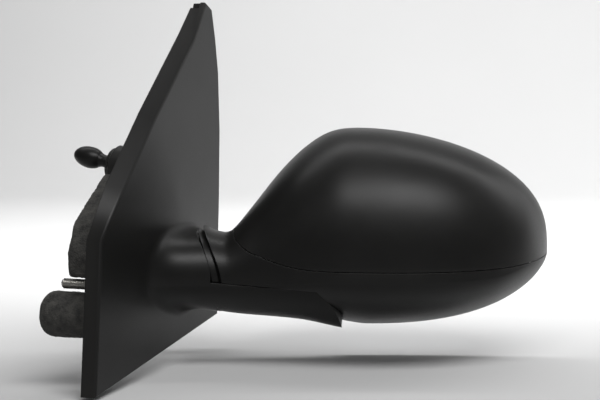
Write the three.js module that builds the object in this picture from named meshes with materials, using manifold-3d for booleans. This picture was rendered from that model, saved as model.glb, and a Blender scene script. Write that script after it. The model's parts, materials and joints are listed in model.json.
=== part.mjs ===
// Manual (cable-adjusted) exterior mirror for the left-hand door of a small car.
// Millimetres. +X points away from the door, +Y towards the rear of the car, +Z up.
// The origin is on the door face of the base bracket, behind the root of the arm.
import * as THREE from 'three';
import { mergeVertices } from 'three/addons/utils/BufferGeometryUtils.js';
import Module from 'manifold-3d';

const wasm = await Module();
wasm.setup();

// ---------------------------------------------------------------- driving dimensions

const SWEEP = THREE.MathUtils.degToRad(20);      // the head's long axis trails the door normal
const FOLD_TILT = THREE.MathUtils.degToRad(4.5); // the fold axis leans away from the door
const FOLD_POINT = [78.6, 0, -51.1];             // fold axis at the parting plane, head frame
const WALL = 2.4;                                // moulded wall thickness
const FIT = 0.35;                                // gap between pieces that touch
const TOOL = 400;                                // size of a cutting block

// head, in the head frame: x along the head, y to the rear, z up
const TIP_X = 241.7;
const TIP_Z = -33.3;
const CREST = [122, 43.3];                       // highest point of the head, x and z
const KEEL = [128, -81.8];                       // lowest point
const NOSE = [145, -46];                         // foremost point, x and y
const RIM_Y = 35;                                // plane of the rear rim
const RIM_DEPTH = 7.6;                           // the rim ring behind the cap
const RIM_LIP = 5.5;                             // lip around the glass opening
const GLASS_INSET = 9.8;                         // glass edge inside the head's outline
const SEAM_GAP = 0.25;                           // half the gap at the cap's seam

// arm, foot and sail
const ARM_REAR = 28;
const ARM_FRONT = -30.5;
const ARM_RADIUS = 33.5;                         // rounded end of the arm about the fold axis
const RECESS_RADIUS = 34.7;                      // recess for it in the head
const NECK_START = 15;                            // the neck's sections begin here, head frame
const NECK_STOP = 54;
const NECK_RADIUS = 50.5;                        // end of the neck at the parting plane
const GROOVE_SLOPE = 0.19;                       // both faces of the groove open upwards
const GROOVE_WIDTH = 4.8;
const COLLAR = 3.5;                              // collar in the groove: its reach into it
const COLLAR_INSET = 3;                          // and its step below the neck's surface
const FOLD_FORWARD = THREE.MathUtils.degToRad(50);
const FOLD_BACK = THREE.MathUtils.degToRad(70);
const SAIL_FACE = 10;                            // outer face of the sail panel
const SAIL_BACK = 0.6;                           // edge of its flanges, just off the door
const BEVEL = 5;                                 // the flange along the pillar flares by this
const FOOT_CENTRE = [3, -47];                    // footprint of the foot on the sail, y and z
const FOOT_SIZE = [50, 33.5, 25.5];              // its reach to both sides, upwards and downwards
const FOOT_END = 36;                             // the foot has become the arm here, head frame
const BRACKET = 4;                               // outer face of the bracket's door plate
const LANDING = 0.8;                             // its landing pads stand proud of the plate by this

// adjusting lever and glass pivot
const LEVER_BALL = [-21, -16, 22];
const LEVER_TILT = THREE.MathUtils.degToRad(12);
const BALL_RADIUS = 8;
const GLASS_PIVOT = [148, 20, -18];
const WIRE_REACH = 24;                           // wires pull the carrier at this radius
const CONDUIT = 1.7;                             // conduit radius
const WIRE = 0.7;
const CONDUIT_CIRCLE = 4.2;                      // three conduits inside the pivot tube
const CONDUIT_SPLIT = 5.6;                       // height where base and head conduits meet

// ---------------------------------------------------------------- small helpers

const v = (x, y, z) => new THREE.Vector3(x, y, z);
const turned = (angle) => new THREE.Matrix4().makeRotationZ(angle);

const HEAD_TO_ROW = turned(SWEEP);
const FOLD_TO_HEAD = new THREE.Matrix4().makeTranslation(...FOLD_POINT)
  .multiply(new THREE.Matrix4().makeRotationY(FOLD_TILT));
const FOLD_TO_ROW = HEAD_TO_ROW.clone().multiply(FOLD_TO_HEAD);
const LEVER_TO_ROW = new THREE.Matrix4().makeTranslation(...LEVER_BALL)
  .multiply(new THREE.Matrix4().makeRotationY(LEVER_TILT));

// A closed three.js geometry as a solid that can be cut and joined.
function solid(geometry, matrix) {
  const bare = geometry.clone();
  for (const name of Object.keys(bare.attributes)) {
    if (name !== 'position') bare.deleteAttribute(name);
  }
  const merged = mergeVertices(bare, 1e-4);
  if (matrix) merged.applyMatrix4(matrix);
  return new wasm.Manifold(new wasm.Mesh({
    numProp: 3,
    vertProperties: Float32Array.from(merged.attributes.position.array),
    triVerts: Uint32Array.from(merged.index.array),
  }));
}

const union = (...solids) => solids.reduce((sum, next) => sum.add(next));

function geometryOf(shape) {
  const mesh = shape.getMesh();
  const geometry = new THREE.BufferGeometry();
  geometry.setAttribute('position', new THREE.BufferAttribute(mesh.vertProperties, 3));
  geometry.setIndex(new THREE.BufferAttribute(mesh.triVerts, 1));
  geometry.computeVertexNormals();
  return geometry;
}

const FINISH = {
  black: { color: 0x1d1d1c, roughness: 0.48, metalness: 0 },
  dark: { color: 0x262625, roughness: 0.7, metalness: 0 },
  foam: { color: 0x4a4a46, roughness: 0.95, metalness: 0 },
  cast: { color: 0x9a9b9c, roughness: 0.55, metalness: 0.9 },
  zinc: { color: 0xb9b6a6, roughness: 0.35, metalness: 1 },
  steel: { color: 0x8a8c8f, roughness: 0.3, metalness: 1 },
  acetal: { color: 0xd8d6cc, roughness: 0.5, metalness: 0 },
  mirror: { color: 0xdfe6ea, roughness: 0.03, metalness: 1 },
};

function part(name, shape, finish) {
  const geometry = shape.isBufferGeometry ? shape : geometryOf(shape);
  const mesh = new THREE.Mesh(geometry, new THREE.MeshStandardMaterial(FINISH[finish]));
  mesh.name = name;
  return mesh;
}

const path2 = (points) => new THREE.Shape(points.map(([a, b]) => new THREE.Vector2(a, b)));
const straight = (depth, curveSegments = 8) => ({ depth, curveSegments, bevelEnabled: false });

// Extrusions of an outline along each axis, between two places on that axis.
function alongX(shape, from, to) {
  const basis = new THREE.Matrix4().makeBasis(v(0, 1, 0), v(0, 0, 1), v(1, 0, 0));
  return new THREE.ExtrudeGeometry(shape, straight(to - from)).applyMatrix4(basis).translate(from, 0, 0);
}

function alongY(shape, from, to) {
  const basis = new THREE.Matrix4().makeBasis(v(1, 0, 0), v(0, 0, 1), v(0, -1, 0));
  return new THREE.ExtrudeGeometry(shape, straight(to - from)).applyMatrix4(basis).translate(0, to, 0);
}

function alongZ(shape, from, to) {
  return new THREE.ExtrudeGeometry(shape, straight(to - from)).translate(0, 0, from);
}

// Cylinders along each axis: radius, ends on the axis, then the other two coordinates.
function rodX(radius, from, to, y, z, sides = 12) {
  const rod = new THREE.CylinderGeometry(radius, radius, to - from, sides).rotateZ(-Math.PI / 2);
  return rod.translate((from + to) / 2, y, z);
}

function rodY(radius, from, to, x, z, sides = 12) {
  return new THREE.CylinderGeometry(radius, radius, to - from, sides).translate(x, (from + to) / 2, z);
}

function rodZ(radius, from, to, x = 0, y = 0, sides = 24) {
  const rod = new THREE.CylinderGeometry(radius, radius, to - from, sides).rotateX(Math.PI / 2);
  return rod.translate(x, y, (from + to) / 2);
}

function block(x0, x1, y0, y1, z0, z1) {
  const box = new THREE.BoxGeometry(x1 - x0, y1 - y0, z1 - z0);
  return box.translate((x0 + x1) / 2, (y0 + y1) / 2, (z0 + z1) / 2);
}

// A solid of revolution about z, from [radius, z] points that close on themselves.
function turnedRing(profile, sides = 24) {
  const points = [...profile, profile[0]].map(([radius, z]) => new THREE.Vector2(radius, z));
  return new THREE.LatheGeometry(points, sides).rotateX(Math.PI / 2);
}

function tube(points, radius, steps, sides = 3) {
  const circle = new THREE.Shape().absarc(0, 0, radius, 0, 2 * Math.PI);
  const extrudePath = new THREE.CatmullRomCurve3(points, false, 'centripetal');
  return new THREE.ExtrudeGeometry(circle, { extrudePath, steps, curveSegments: sides });
}

// A closed skin over rings of points: all rings run the same way round, seen from the last one.
function loft(rings) {
  const count = rings[0].length;
  const last = rings.length - 1;
  const positions = [];
  const index = [];
  const middle = (ring) => ring.reduce((sum, p) => sum.add(p), v(0, 0, 0)).divideScalar(count);
  for (const point of [...rings.flat(), middle(rings[0]), middle(rings[last])]) {
    positions.push(point.x, point.y, point.z);
  }
  const startCentre = rings.length * count;
  for (let k = 0; k < count; k += 1) {
    const next = (k + 1) % count;
    index.push(startCentre, next, k);
    index.push(startCentre + 1, last * count + k, last * count + next);
    for (let i = 0; i < last; i += 1) {
      const a = i * count + k;
      const b = i * count + next;
      index.push(a, b, b + count, a, b + count, a + count);
    }
  }
  const geometry = new THREE.BufferGeometry();
  geometry.setAttribute('position', new THREE.Float32BufferAttribute(positions, 3));
  geometry.setIndex(index);
  return geometry;
}

// ---------------------------------------------------------------- outer envelope

// Smooth curve through [x, value] points, level at both ends.
function curveThrough(points) {
  const slope = points.map((_, i) => (i === 0 || i === points.length - 1 ? 0
    : (points[i + 1][1] - points[i - 1][1]) / (points[i + 1][0] - points[i - 1][0])));
  return (x) => {
    if (x <= points[0][0]) return points[0][1];
    const i = points.findIndex(([at]) => at >= x) - 1;
    if (i < 0) return points[points.length - 1][1];
    const [x0, a] = points[i];
    const [x1, b] = points[i + 1];
    const w = x1 - x0;
    const t = (x - x0) / w;
    return (1 + 2 * t) * (1 - t) ** 2 * a + t * (1 - t) ** 2 * w * slope[i]
      + t * t * (3 - 2 * t) * b + t * t * (t - 1) * w * slope[i + 1];
  };
}

// Falls from 1 at the start to 0 at the tip of the head, with a round end.
function towardsTip(x, start, power, root) {
  const along = Math.min((x - start) / (TIP_X - start), 1);
  return (1 - along ** power) ** (1 / root);
}

const topLine = curveThrough([[16, -13], [26, -16.5], [35, -19.8], [42, -19], [54, -5.9],
  [72, 16.1], [88, 31.5], [104, 41], CREST]);
const bottomLine = curveThrough([[16, -67], [47, -70.4], [85, -74], [110, -79.3], KEEL]);
const frontLine = curveThrough([[16, -29], [45, -29.5], [62, -31.5], [85, -37.5], [110, -43], NOSE]);
const noseHeight = curveThrough([[45, -48], [110, -45], [200, -43.5], [TIP_X, -35]]);
const crestY = curveThrough([[40, 3], [60, 15], [80, 27], [100, 32]]);
const rearY = curveThrough([[38, ARM_REAR], [62, RIM_Y]]);
const rearPower = curveThrough([[38, 2.4], [70, 7]]);
const UNDER_POWER = 1.5;                         // fullness below the crease

function headTop(x) {
  if (x < CREST[0]) return topLine(x);
  return TIP_Z + (CREST[1] - TIP_Z) * towardsTip(x, CREST[0], 1.75, 2.5);
}

function headBottom(x) {
  if (x < KEEL[0]) return bottomLine(x);
  return TIP_Z + (KEEL[1] - TIP_Z) * towardsTip(x, KEEL[0], 2.35, 1.8);
}

function headFront(x) {
  if (x < NOSE[0]) return frontLine(x);
  return RIM_Y + (NOSE[1] - RIM_Y) * towardsTip(x, NOSE[0], 2.1, 2);
}

// One closed section of the head or the arm: four quarters of a superellipse about the crest line.
// The front quarters meet in a soft crease along the nose.
function sectionPower(c, s, rear) {
  if (c > 0) return rear;
  return s < 0 ? UNDER_POWER : 2.3;
}

function envelopeRing(x, inset, isArm, count) {
  const front = (isArm ? Math.max(headFront(x), ARM_FRONT) : headFront(x)) + inset;
  const rear = (isArm ? ARM_REAR : rearY(x)) - inset;
  const middleY = isArm ? 0 : Math.min(Math.max(crestY(x), front + 1), rear - 1);
  const middleZ = noseHeight(x);
  const top = headTop(x) - inset;
  const bottom = headBottom(x) + inset;
  const ring = [];
  for (let k = 0; k < count; k += 1) {
    const c = Math.cos((2 * Math.PI * k) / count);
    const s = Math.sin((2 * Math.PI * k) / count);
    const power = sectionPower(c, s, isArm ? 2.3 : rearPower(x));
    const reach = c > 0 ? rear - middleY : middleY - front;
    const rise = s > 0 ? top - middleZ : middleZ - bottom;
    ring.push(v(x,
      middleY + reach * Math.sign(c) * Math.abs(c) ** (2 / power),
      middleZ + rise * Math.sign(s) * Math.abs(s) ** (2 / power)));
  }
  return ring;
}

// The head and neck as one full body, in the head frame.
// Stations are close together along the neck, and again towards the tip.
function headBody(inset, to, count = 32, neckSteps = 7, steps = 14) {
  const rings = [];
  for (let i = 0; i < neckSteps; i += 1) {
    rings.push(envelopeRing(NECK_START + ((NECK_STOP - NECK_START) * i) / neckSteps, inset, false, count));
  }
  for (let i = 0; i <= steps; i += 1) {
    const along = Math.sin((Math.PI / 2) * (i / steps));
    rings.push(envelopeRing(NECK_STOP + (to - NECK_STOP) * along, inset, false, count));
  }
  return solid(loft(rings));
}

// The foot flares out of the sail and becomes the arm; the arm runs on past the fold axis.
// In the row's frame.
function footBody(inset, rootX, footInset, count = 28, flareSteps = 7, armSteps = 4) {
  const end = envelopeRing(FOOT_END, inset, true, count).map((p) => p.applyMatrix4(HEAD_TO_ROW));
  const away = v(1, 0, 0).applyMatrix4(HEAD_TO_ROW);
  const print = end.map((_, k) => {
    const c = Math.cos((2 * Math.PI * k) / count);
    const s = Math.sin((2 * Math.PI * k) / count);
    const power = sectionPower(c, s, 2.3);
    const rise = (s > 0 ? FOOT_SIZE[1] : FOOT_SIZE[2]) - footInset;
    return v(SAIL_FACE,
      FOOT_CENTRE[0] + (FOOT_SIZE[0] - footInset) * Math.sign(c) * Math.abs(c) ** (2 / power),
      FOOT_CENTRE[1] + rise * Math.sign(s) * Math.abs(s) ** (2 / power));
  });
  const rings = [print.map((p) => v(rootX, p.y, p.z))];
  for (let i = 0; i <= flareSteps; i += 1) {
    const t = i / flareSteps;
    rings.push(print.map((p, k) => {
      const chord = p.distanceTo(end[k]);
      const inward = v(0, FOOT_CENTRE[0] - p.y, FOOT_CENTRE[1] - p.z).setLength(0.9 * chord);
      return p.clone().multiplyScalar((1 + 2 * t) * (1 - t) ** 2)
        .addScaledVector(inward, t * (1 - t) ** 2)
        .addScaledVector(end[k], t * t * (3 - 2 * t))
        .addScaledVector(away, t * t * (t - 1) * 0.9 * chord);
    }));
  }
  for (let i = 1; i <= armSteps; i += 1) {
    const x = FOOT_END + ((FOLD_POINT[0] + ARM_RADIUS + 4 - FOOT_END) * i) / armSteps;
    rings.push(envelopeRing(x, inset, true, count).map((p) => p.applyMatrix4(HEAD_TO_ROW)));
  }
  return solid(loft(rings));
}

// ---------------------------------------------------------------- fold clearances

// Everything that the arm sweeps in the head between full forward and full rearward fold,
// up to a given height in the fold frame.
function armSweep(margin, top) {
  const radius = RECESS_RADIUS + margin;
  const back = Math.PI / 2 - FOLD_BACK;
  const forward = FOLD_FORWARD - Math.PI / 2;
  const farEnd = (angle, side) => v(radius * Math.cos(angle), radius * Math.sin(angle), 0)
    .addScaledVector(v(-Math.sin(angle), Math.cos(angle), 0), (side * TOOL) / 2);
  const behind = farEnd(back, 1);
  const ahead = farEnd(forward, -1);
  const outline = new THREE.Shape();
  outline.absarc(0, 0, radius, forward, back, false);
  outline.lineTo(behind.x, behind.y);
  outline.lineTo(-TOOL / 2, behind.y);
  outline.lineTo(-TOOL / 2, ahead.y);
  outline.lineTo(ahead.x, ahead.y);
  return solid(alongZ(new THREE.Shape(outline.getPoints(10)), -TOOL / 4, top), FOLD_TO_HEAD);
}

// The round wall of the groove between foot and neck, as a cone about the fold axis.
function grooveCone(offset, from, to) {
  const radiusAt = (z) => NECK_RADIUS + offset + GROOVE_SLOPE * z;
  return turnedRing([[0, from], [radiusAt(from), from], [radiusAt(to), to], [0, to]], 48);
}

// All that lies on the door's side of the neck's round end, in the head frame.
function beyondNeck(offset) {
  const slab = solid(block(-TOOL / 2, 54, -TOOL / 2, TOOL / 2, -TOOL / 2, TOOL / 2));
  return slab.subtract(solid(grooveCone(offset, -80, 80), FOLD_TO_HEAD));
}

// ---------------------------------------------------------------- head shells

// The seam's height along the head; the cap lies above it and in front of the rim ring.
const SEAM = [[43.2, -12], [43.6, -17.3], [45.2, -22.6], [52.7, -28.5], [60.4, -31.6], [72.8, -35.7],
  [85, -38], [103, -39], [157, -39], [200, -38.5], [214, -37.9], [229, -36.5], [246, -34]];

function capRegion(offset) {
  const edge = SEAM.map(([x, z], i) => [x - (i < 3 ? offset : 0), z - (i < 3 ? 0 : offset)]);
  const outline = path2([...edge, [246, 80], [43.2 - offset, 80]]);
  return solid(alongY(outline, -TOOL / 4, RIM_Y - RIM_DEPTH + offset));
}

// Outline of the glass opening: the head's own outline moved inwards, closed by a straight
// edge that keeps clear of the arm.
function openingOutline(inset) {
  const edge = [];
  for (let i = 0; i <= 18; i += 1) {
    const x = 62 + (TIP_X - 0.2 - 62) * Math.sin((Math.PI / 2) * (i / 18));
    edge.push([x, headTop(x)]);
  }
  for (let i = 15; i >= 0; i -= 1) {
    const x = 132 + (TIP_X - 0.6 - 132) * Math.sin((Math.PI / 2) * (i / 16));
    edge.push([x, headBottom(x)]);
  }
  const moved = edge.map(([x, z], i) => {
    const [xa, za] = edge[Math.max(i - 1, 0)];
    const [xb, zb] = edge[Math.min(i + 1, edge.length - 1)];
    const length = Math.hypot(xb - xa, zb - za);
    return [x + (inset * (zb - za)) / length, z - (inset * (xb - xa)) / length];
  });
  const first = moved[0];
  const last = moved[moved.length - 1];
  const shape = path2(moved);
  const corner = [60 + inset, -21 + 0.1 * inset];
  shape.lineTo(last[0] - 1, last[1] + 0.2);
  shape.quadraticCurveTo(115 + inset, last[1] + 1, 114.5 + inset, -67 + 0.5 * inset);
  shape.lineTo(113 + inset, -57 + 0.5 * inset);
  shape.quadraticCurveTo(110 + inset, -48.5 + inset, 98 + 0.6 * inset, -45.5 + inset);
  shape.lineTo(corner[0] + 14, corner[1] - 9);
  shape.quadraticCurveTo(corner[0], corner[1], corner[0], corner[1] + 9);
  shape.quadraticCurveTo(first[0] - 3, first[1] - 6, first[0], first[1]);
  return new THREE.Shape(shape.getPoints(5));
}

// A step on the neck's end wall that keeps dirt and daylight out of the groove.
function neckCollar() {
  return headBody(COLLAR_INSET, NECK_STOP, 24, 5, 1)
    .subtract(beyondNeck(COLLAR))
    .intersect(beyondNeck(-WALL));
}

const OUTER_HEAD = headBody(0, TIP_X - 0.25);
const HEAD_SHELL = (() => {
  const cavity = headBody(WALL, TIP_X - 3)
    .subtract(beyondNeck(-WALL))
    .subtract(armSweep(WALL, FIT + WALL));
  return OUTER_HEAD
    .subtract(cavity)
    .subtract(solid(alongY(openingOutline(RIM_LIP), 18, 60)))
    .subtract(beyondNeck(0))
    .add(neckCollar())
    .subtract(armSweep(0, FIT + 0.1))
    .subtract(solid(rodZ(16.8, -2, 6), FOLD_TO_HEAD));
})();

// bracket screws go into these bosses: x and z on the head, and one on the floor of the head
const HEAD_BOSSES = [[125, -59], [186, -50]];
const FLOOR_BOSS = -29;
const PLATE_Y = [2, 6];

function headHousing() {
  const shell = HEAD_SHELL.subtract(capRegion(SEAM_GAP));
  const inside = headBody(WALL / 2, TIP_X - 3, 24);
  const bosses = HEAD_BOSSES.map(([x, z]) => solid(rodY(4.2, -60, PLATE_Y[0] - FIT, x, z))
    .intersect(inside)
    .subtract(solid(rodY(1.6, PLATE_Y[0] - 14, 10, x, z, 10))));
  const floorBoss = solid(rodZ(4.2, FIT + 1, 6.4, FLOOR_BOSS, 0, 16), FOLD_TO_HEAD)
    .subtract(solid(rodZ(1.6, FIT + 1.4, 10, FLOOR_BOSS, 0, 10), FOLD_TO_HEAD));
  return part('head_housing', union(shell, ...bosses, floorBoss), 'black');
}

function upperCap() {
  return part('upper_cap', HEAD_SHELL.intersect(capRegion(-SEAM_GAP)), 'black');
}

// ---------------------------------------------------------------- sail and arm shells

// Outer face of the sail panel, counter-clockwise seen from outside: y and z.
const SAIL = [[-108, -100], [61, -80], [62, -50], [65, 0], [66.5, 40], [64.5, 78], [60, 100],
  [54.5, 118.5], [45, 122.5], [27, 99], [-30, 51], [-72, 12], [-99, -14]];
const PILLAR_EDGE = [9, 10, 11];                 // corners along the windscreen pillar

// A convex outline moved inwards, corner by corner.
function insetOutline(points, distanceAt) {
  return points.map(([y, z], i) => {
    const [ya, za] = points[(i + points.length - 1) % points.length];
    const [yb, zb] = points[(i + 1) % points.length];
    const before = new THREE.Vector2(y - ya, z - za).normalize();
    const after = new THREE.Vector2(yb - y, zb - z).normalize();
    const inward = new THREE.Vector2(-before.y - after.y, before.x + after.x).normalize();
    const reach = distanceAt(i) / Math.max(inward.dot(new THREE.Vector2(-after.y, after.x)), 0.5);
    return [y + inward.x * reach, z + inward.y * reach];
  });
}

const flare = (i) => (PILLAR_EDGE.includes(i) ? -BEVEL : 0);
const sailRing = (x, inset, flared) => insetOutline(SAIL, (i) => inset + (flared ? flare(i) : 0))
  .map(([y, z]) => v(x, y, z));

function sailSlab(inset, back, face) {
  return solid(loft([sailRing(back, inset, true), sailRing(face, inset, false)]));
}

const COVER_SCREWS = [[-78, -82], [46, 34], [18, 80]];

const HATCH_REACH = 22;                          // the hatch ends this far beyond the fold axis
const HATCH_HALF = 16;
const HATCH_Y = 4;

// Lower opening of the arm, closed by its bottom cover: outline seen from below, head frame.
function armHatch(margin) {
  const reach = FOLD_POINT[0] + HATCH_REACH + margin;
  const half = HATCH_HALF + margin;
  const outline = new THREE.Shape();
  outline.moveTo(34 - margin, HATCH_Y - half);
  outline.lineTo(reach - half, HATCH_Y - half);
  outline.absarc(reach - half, HATCH_Y, half, -Math.PI / 2, Math.PI / 2, false);
  outline.lineTo(34 - margin, HATCH_Y + half);
  outline.closePath();
  return solid(alongZ(outline, -TOOL / 4, -60), HEAD_TO_ROW);
}

const ARM_SKIN = (() => {
  const outer = footBody(0, SAIL_FACE - WALL / 2, 0);
  const inner = footBody(WALL, SAIL_FACE - 2 * WALL, 9);
  const above = solid(rodZ(TOOL, 0, TOOL / 2), FOLD_TO_ROW);
  const belowTop = solid(rodZ(TOOL, -WALL, TOOL / 2), FOLD_TO_ROW);
  const foot = solid(block(-20, 1000, -TOOL, TOOL, -TOOL, TOOL))
    .subtract(solid(grooveCone(GROOVE_WIDTH, 0, 120), FOLD_TO_ROW));
  const footInside = solid(block(-20, 1000, -TOOL, TOOL, -TOOL, TOOL))
    .subtract(solid(grooveCone(GROOVE_WIDTH + WALL, -WALL, 120), FOLD_TO_ROW));
  const doorSide = solid(block(-20, TOOL, -TOOL, TOOL, -TOOL, TOOL)
    .translate(-TOOL + FOLD_POINT[0], 0, 0), HEAD_TO_ROW);
  const plan = (radius) => doorSide.add(solid(rodZ(radius, -80, 80, 0, 0, 48), FOLD_TO_ROW));
  const upperOuter = outer.intersect(foot.subtract(outsideFoot(above, 0)));
  const upperInner = inner.intersect(footInside.subtract(outsideFoot(belowTop, WALL)));
  return {
    outer: upperOuter.intersect(plan(ARM_RADIUS)),
    inner: upperInner.intersect(plan(ARM_RADIUS - WALL)),
  };
})();

// What lies above the arm's top plane, outboard of the groove.
function outsideFoot(above, wall) {
  const beyond = solid(block(FOLD_POINT[0] - 48, TOOL, -TOOL / 2, TOOL / 2, -TOOL / 2, TOOL / 2)
    .translate(-wall, 0, 0), HEAD_TO_ROW);
  return above.intersect(beyond);
}

function sailCover() {
  const slab = sailSlab(0, SAIL_BACK, SAIL_FACE);
  const hollow = sailSlab(WALL, SAIL_BACK - 5, SAIL_FACE - WALL);
  const bosses = COVER_SCREWS.map(([y, z]) => solid(rodX(4, BRACKET + FIT, SAIL_FACE - 1, y, z)));
  const bores = COVER_SCREWS.map(([y, z]) => solid(rodX(2.1, 0, SAIL_FACE - WALL, y, z, 10)));
  const notch = solid(alongX(path2([[30, 128], [44, 117], [49, 128]]), -5, SAIL_FACE - 4));
  const shell = union(slab.subtract(hollow), ...bosses).subtract(union(notch, ...bores))
    .add(ARM_SKIN.outer)
    .subtract(ARM_SKIN.inner)
    .subtract(armHatch(FIT))
    .subtract(solid(rodZ(16.4, -6, 4), FOLD_TO_ROW));
  return part('sail_cover', shell, 'black');
}

// screws of the bottom cover, in the fold frame
const HATCH_SCREWS = [[-22, 12], [-39, 12]];
const HATCH_SEAT = -19.2;

function armBottomCover() {
  const skin = ARM_SKIN.outer.subtract(ARM_SKIN.inner).intersect(armHatch(0));
  const holes = HATCH_SCREWS.map(([x, y]) => union(
    solid(rodZ(2, -40, -10, x, y, 12), FOLD_TO_ROW),
    solid(rodZ(3.8, -40, HATCH_SEAT, x, y, 16), FOLD_TO_ROW),
  ));
  return part('arm_bottom_cover', skin.subtract(union(...holes)), 'black');
}

// ---------------------------------------------------------------- bracket and fasteners

const STUDS = [[-80, -41.8], [46, -62], [34, 62]];
const BOSS_TOP = -3;
const WEB = [-9, -5];
const RIB = 17;
const FRONT_RIB = [-58, 0, -13, -10, -10.5];
const RIB_FOOT = -12.3;
const CABLE_NOTCH = [-20, 2, -6.4, 6.4, -13, 1.5];    // where the conduits rise into the pivot tube

function baseBracket() {
  const outline = insetOutline(SAIL, () => 8);
  const plate = solid(alongX(path2(outline), LANDING, BRACKET));
  const landing = solid(block(0, BRACKET, -5, 13, -32, 2));
  const slot = solid(block(-5, 20, -26, -6, -50, 36));
  const cableWay = solid(block(-5, 20, -18, 13, -67, -34));
  const window = solid(alongX(path2([[14, -36], [50, -36], [50, -2], [14, -2]]), -5, 20));
  const arm = union(
    solid(block(-62, 0, -RIB, RIB, ...WEB), FOLD_TO_ROW),
    solid(block(...FRONT_RIB, WEB[1]), FOLD_TO_ROW),
    solid(block(-84, 0, RIB - 3, RIB, RIB_FOOT, WEB[1]), FOLD_TO_ROW),
    solid(rodZ(RIB, WEB[0], BOSS_TOP, 0, 0, 40), FOLD_TO_ROW),
    ...HATCH_SCREWS.map(([x, y]) => solid(rodZ(3.6, RIB_FOOT, WEB[1], x, y, 14), FOLD_TO_ROW)),
  ).subtract(solid(block(-TOOL, 1, -TOOL, TOOL, -TOOL, TOOL)));
  const drills = union(
    solid(rodZ(9, -30, 10), FOLD_TO_ROW),
    solid(rodZ(13.6, -30, WEB[0]), FOLD_TO_ROW),
    solid(block(...CABLE_NOTCH), FOLD_TO_ROW),
    ...HATCH_SCREWS.map(([x, y]) => solid(rodZ(1.6, -20, -7, x, y, 10), FOLD_TO_ROW)),
    ...STUDS.map(([y, z]) => solid(rodX(3.3, -5, 20, y, z))),
    ...COVER_SCREWS.map(([y, z]) => union(
      solid(rodX(2.3, -5, 20, y, z)),
      solid(rodX(4.7, -5, LANDING + 2.4, y, z)),
    )),
  );
  const pads = STUDS.map(([y, z]) => solid(rodX(8, 0, BRACKET, y, z)));
  const leverPad = solid(rodX(22, 0, BRACKET, LEVER_BALL[1], LEVER_BALL[2], 32));
  const body = union(union(plate, leverPad).subtract(union(slot, cableWay, window)), landing, ...pads, arm);
  return part('base_bracket', body.subtract(drills), 'cast');
}

function mountingStud(number, [y, z]) {
  const thread = solid(rodX(3, -25, BRACKET + 1, y, z));
  const head = solid(rodX(5.5, BRACKET + FIT, BRACKET + FIT + 2.4, y, z, 6));
  return part(`mounting_stud_${number}`, thread.add(head), 'zinc');
}

function coverScrew(number, [y, z]) {
  const head = solid(rodX(4.2, LANDING + 0.1, LANDING + 2.1, y, z));
  return part(`cover_screw_${number}`, head.add(solid(rodX(1.8, LANDING + 1, 7.1, y, z, 12))), 'zinc');
}

// A pan-head screw along z, head at the bottom, for the underside of the arm.
function hatchScrew(number, [x, y]) {
  const head = rodZ(3.4, HATCH_SEAT - 1.5, HATCH_SEAT - 0.1, x, y, 16);
  const shank = rodZ(1.35, HATCH_SEAT - 1, -8.5, x, y, 10);
  return part(`cover_screw_${number}`, solid(head).add(solid(shank)), 'zinc');
}

// ---------------------------------------------------------------- foam

function foamGasket() {
  const outline = path2([[-84.5, -38.2], [-86, -24], [-77, -6], [-39.2, 19.5], [-39, -4], [-33, -20],
    [-33, -38.2]]);
  return part('foam_gasket', alongX(outline, -20, -FIT), 'foam');
}

function foamPlug() {
  const outline = [[0, -34.5], [10, -34.5], [12.8, -32], [13.4, -28], [13.4, -12], [12, -FIT],
    [0, -FIT]]
    .map(([radius, x]) => new THREE.Vector2(radius, -x));
  const body = new THREE.LatheGeometry([...outline].reverse(), 20).rotateZ(Math.PI / 2);
  return part('foam_plug', solid(body.translate(0, -82, -59.2)), 'foam');
}

// ---------------------------------------------------------------- lever

// The lever's own frame has its origin at the ball and -x along the stick.
const WIRE_CIRCLE = 6;
const wireAngles = [90, 210, 330].map(THREE.MathUtils.degToRad);
const PIN = 1.3;
const PIN_REACH = 10.2;
const LEVER_SCREW = 18.6;

function leverHousing() {
  const barrel = union(
    solid(rodX(15, 5, 26, 0, 0, 32), LEVER_TO_ROW),
    solid(rodX(11.8, -2.6, 8, 0, 0, 32), LEVER_TO_ROW),
    solid(rodX(9.4, -5.8, 0, 0, 0, 32), LEVER_TO_ROW),
  );
  const flange = solid(rodX(22.5, -3.2, -FIT, LEVER_BALL[1], LEVER_BALL[2], 32));
  const doorSide = solid(block(-FIT, TOOL, -TOOL, TOOL, -TOOL, TOOL));
  const inside = union(
    solid(new THREE.SphereGeometry(BALL_RADIUS + FIT, 18, 12), LEVER_TO_ROW),
    solid(rodX(12.4, 6.5, 40, 0, 0, 32), LEVER_TO_ROW),
    solid(rodX(6.2, 0, 10, 0, 0, 24), LEVER_TO_ROW),
    solid(new THREE.CylinderGeometry(3, 7.8, 10, 24).rotateZ(-Math.PI / 2)
      .rotateY(Math.PI).translate(-8, 0, 0), LEVER_TO_ROW),
    solid(block(-3.9, 3.9, -PIN_REACH - 0.5, PIN_REACH + 0.5, -1.7, 1.7), LEVER_TO_ROW),
  );
  const screws = [-1, 1].map((side) => solid(
    rodX(1.9, -10, 5, LEVER_BALL[1] + LEVER_SCREW * side, LEVER_BALL[2], 12)));
  const body = union(barrel, flange).subtract(doorSide).subtract(union(inside, ...screws));
  return part('lever_housing', body, 'dark');
}

function leverScrew(number, side) {
  const y = LEVER_BALL[1] + LEVER_SCREW * side;
  const head = solid(rodX(3.2, -5.4, -3.3, y, LEVER_BALL[2]));
  return part(`lever_screw_${number}`, head.add(solid(rodX(1.6, -4, -0.6, y, LEVER_BALL[2], 10))), 'zinc');
}

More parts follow.
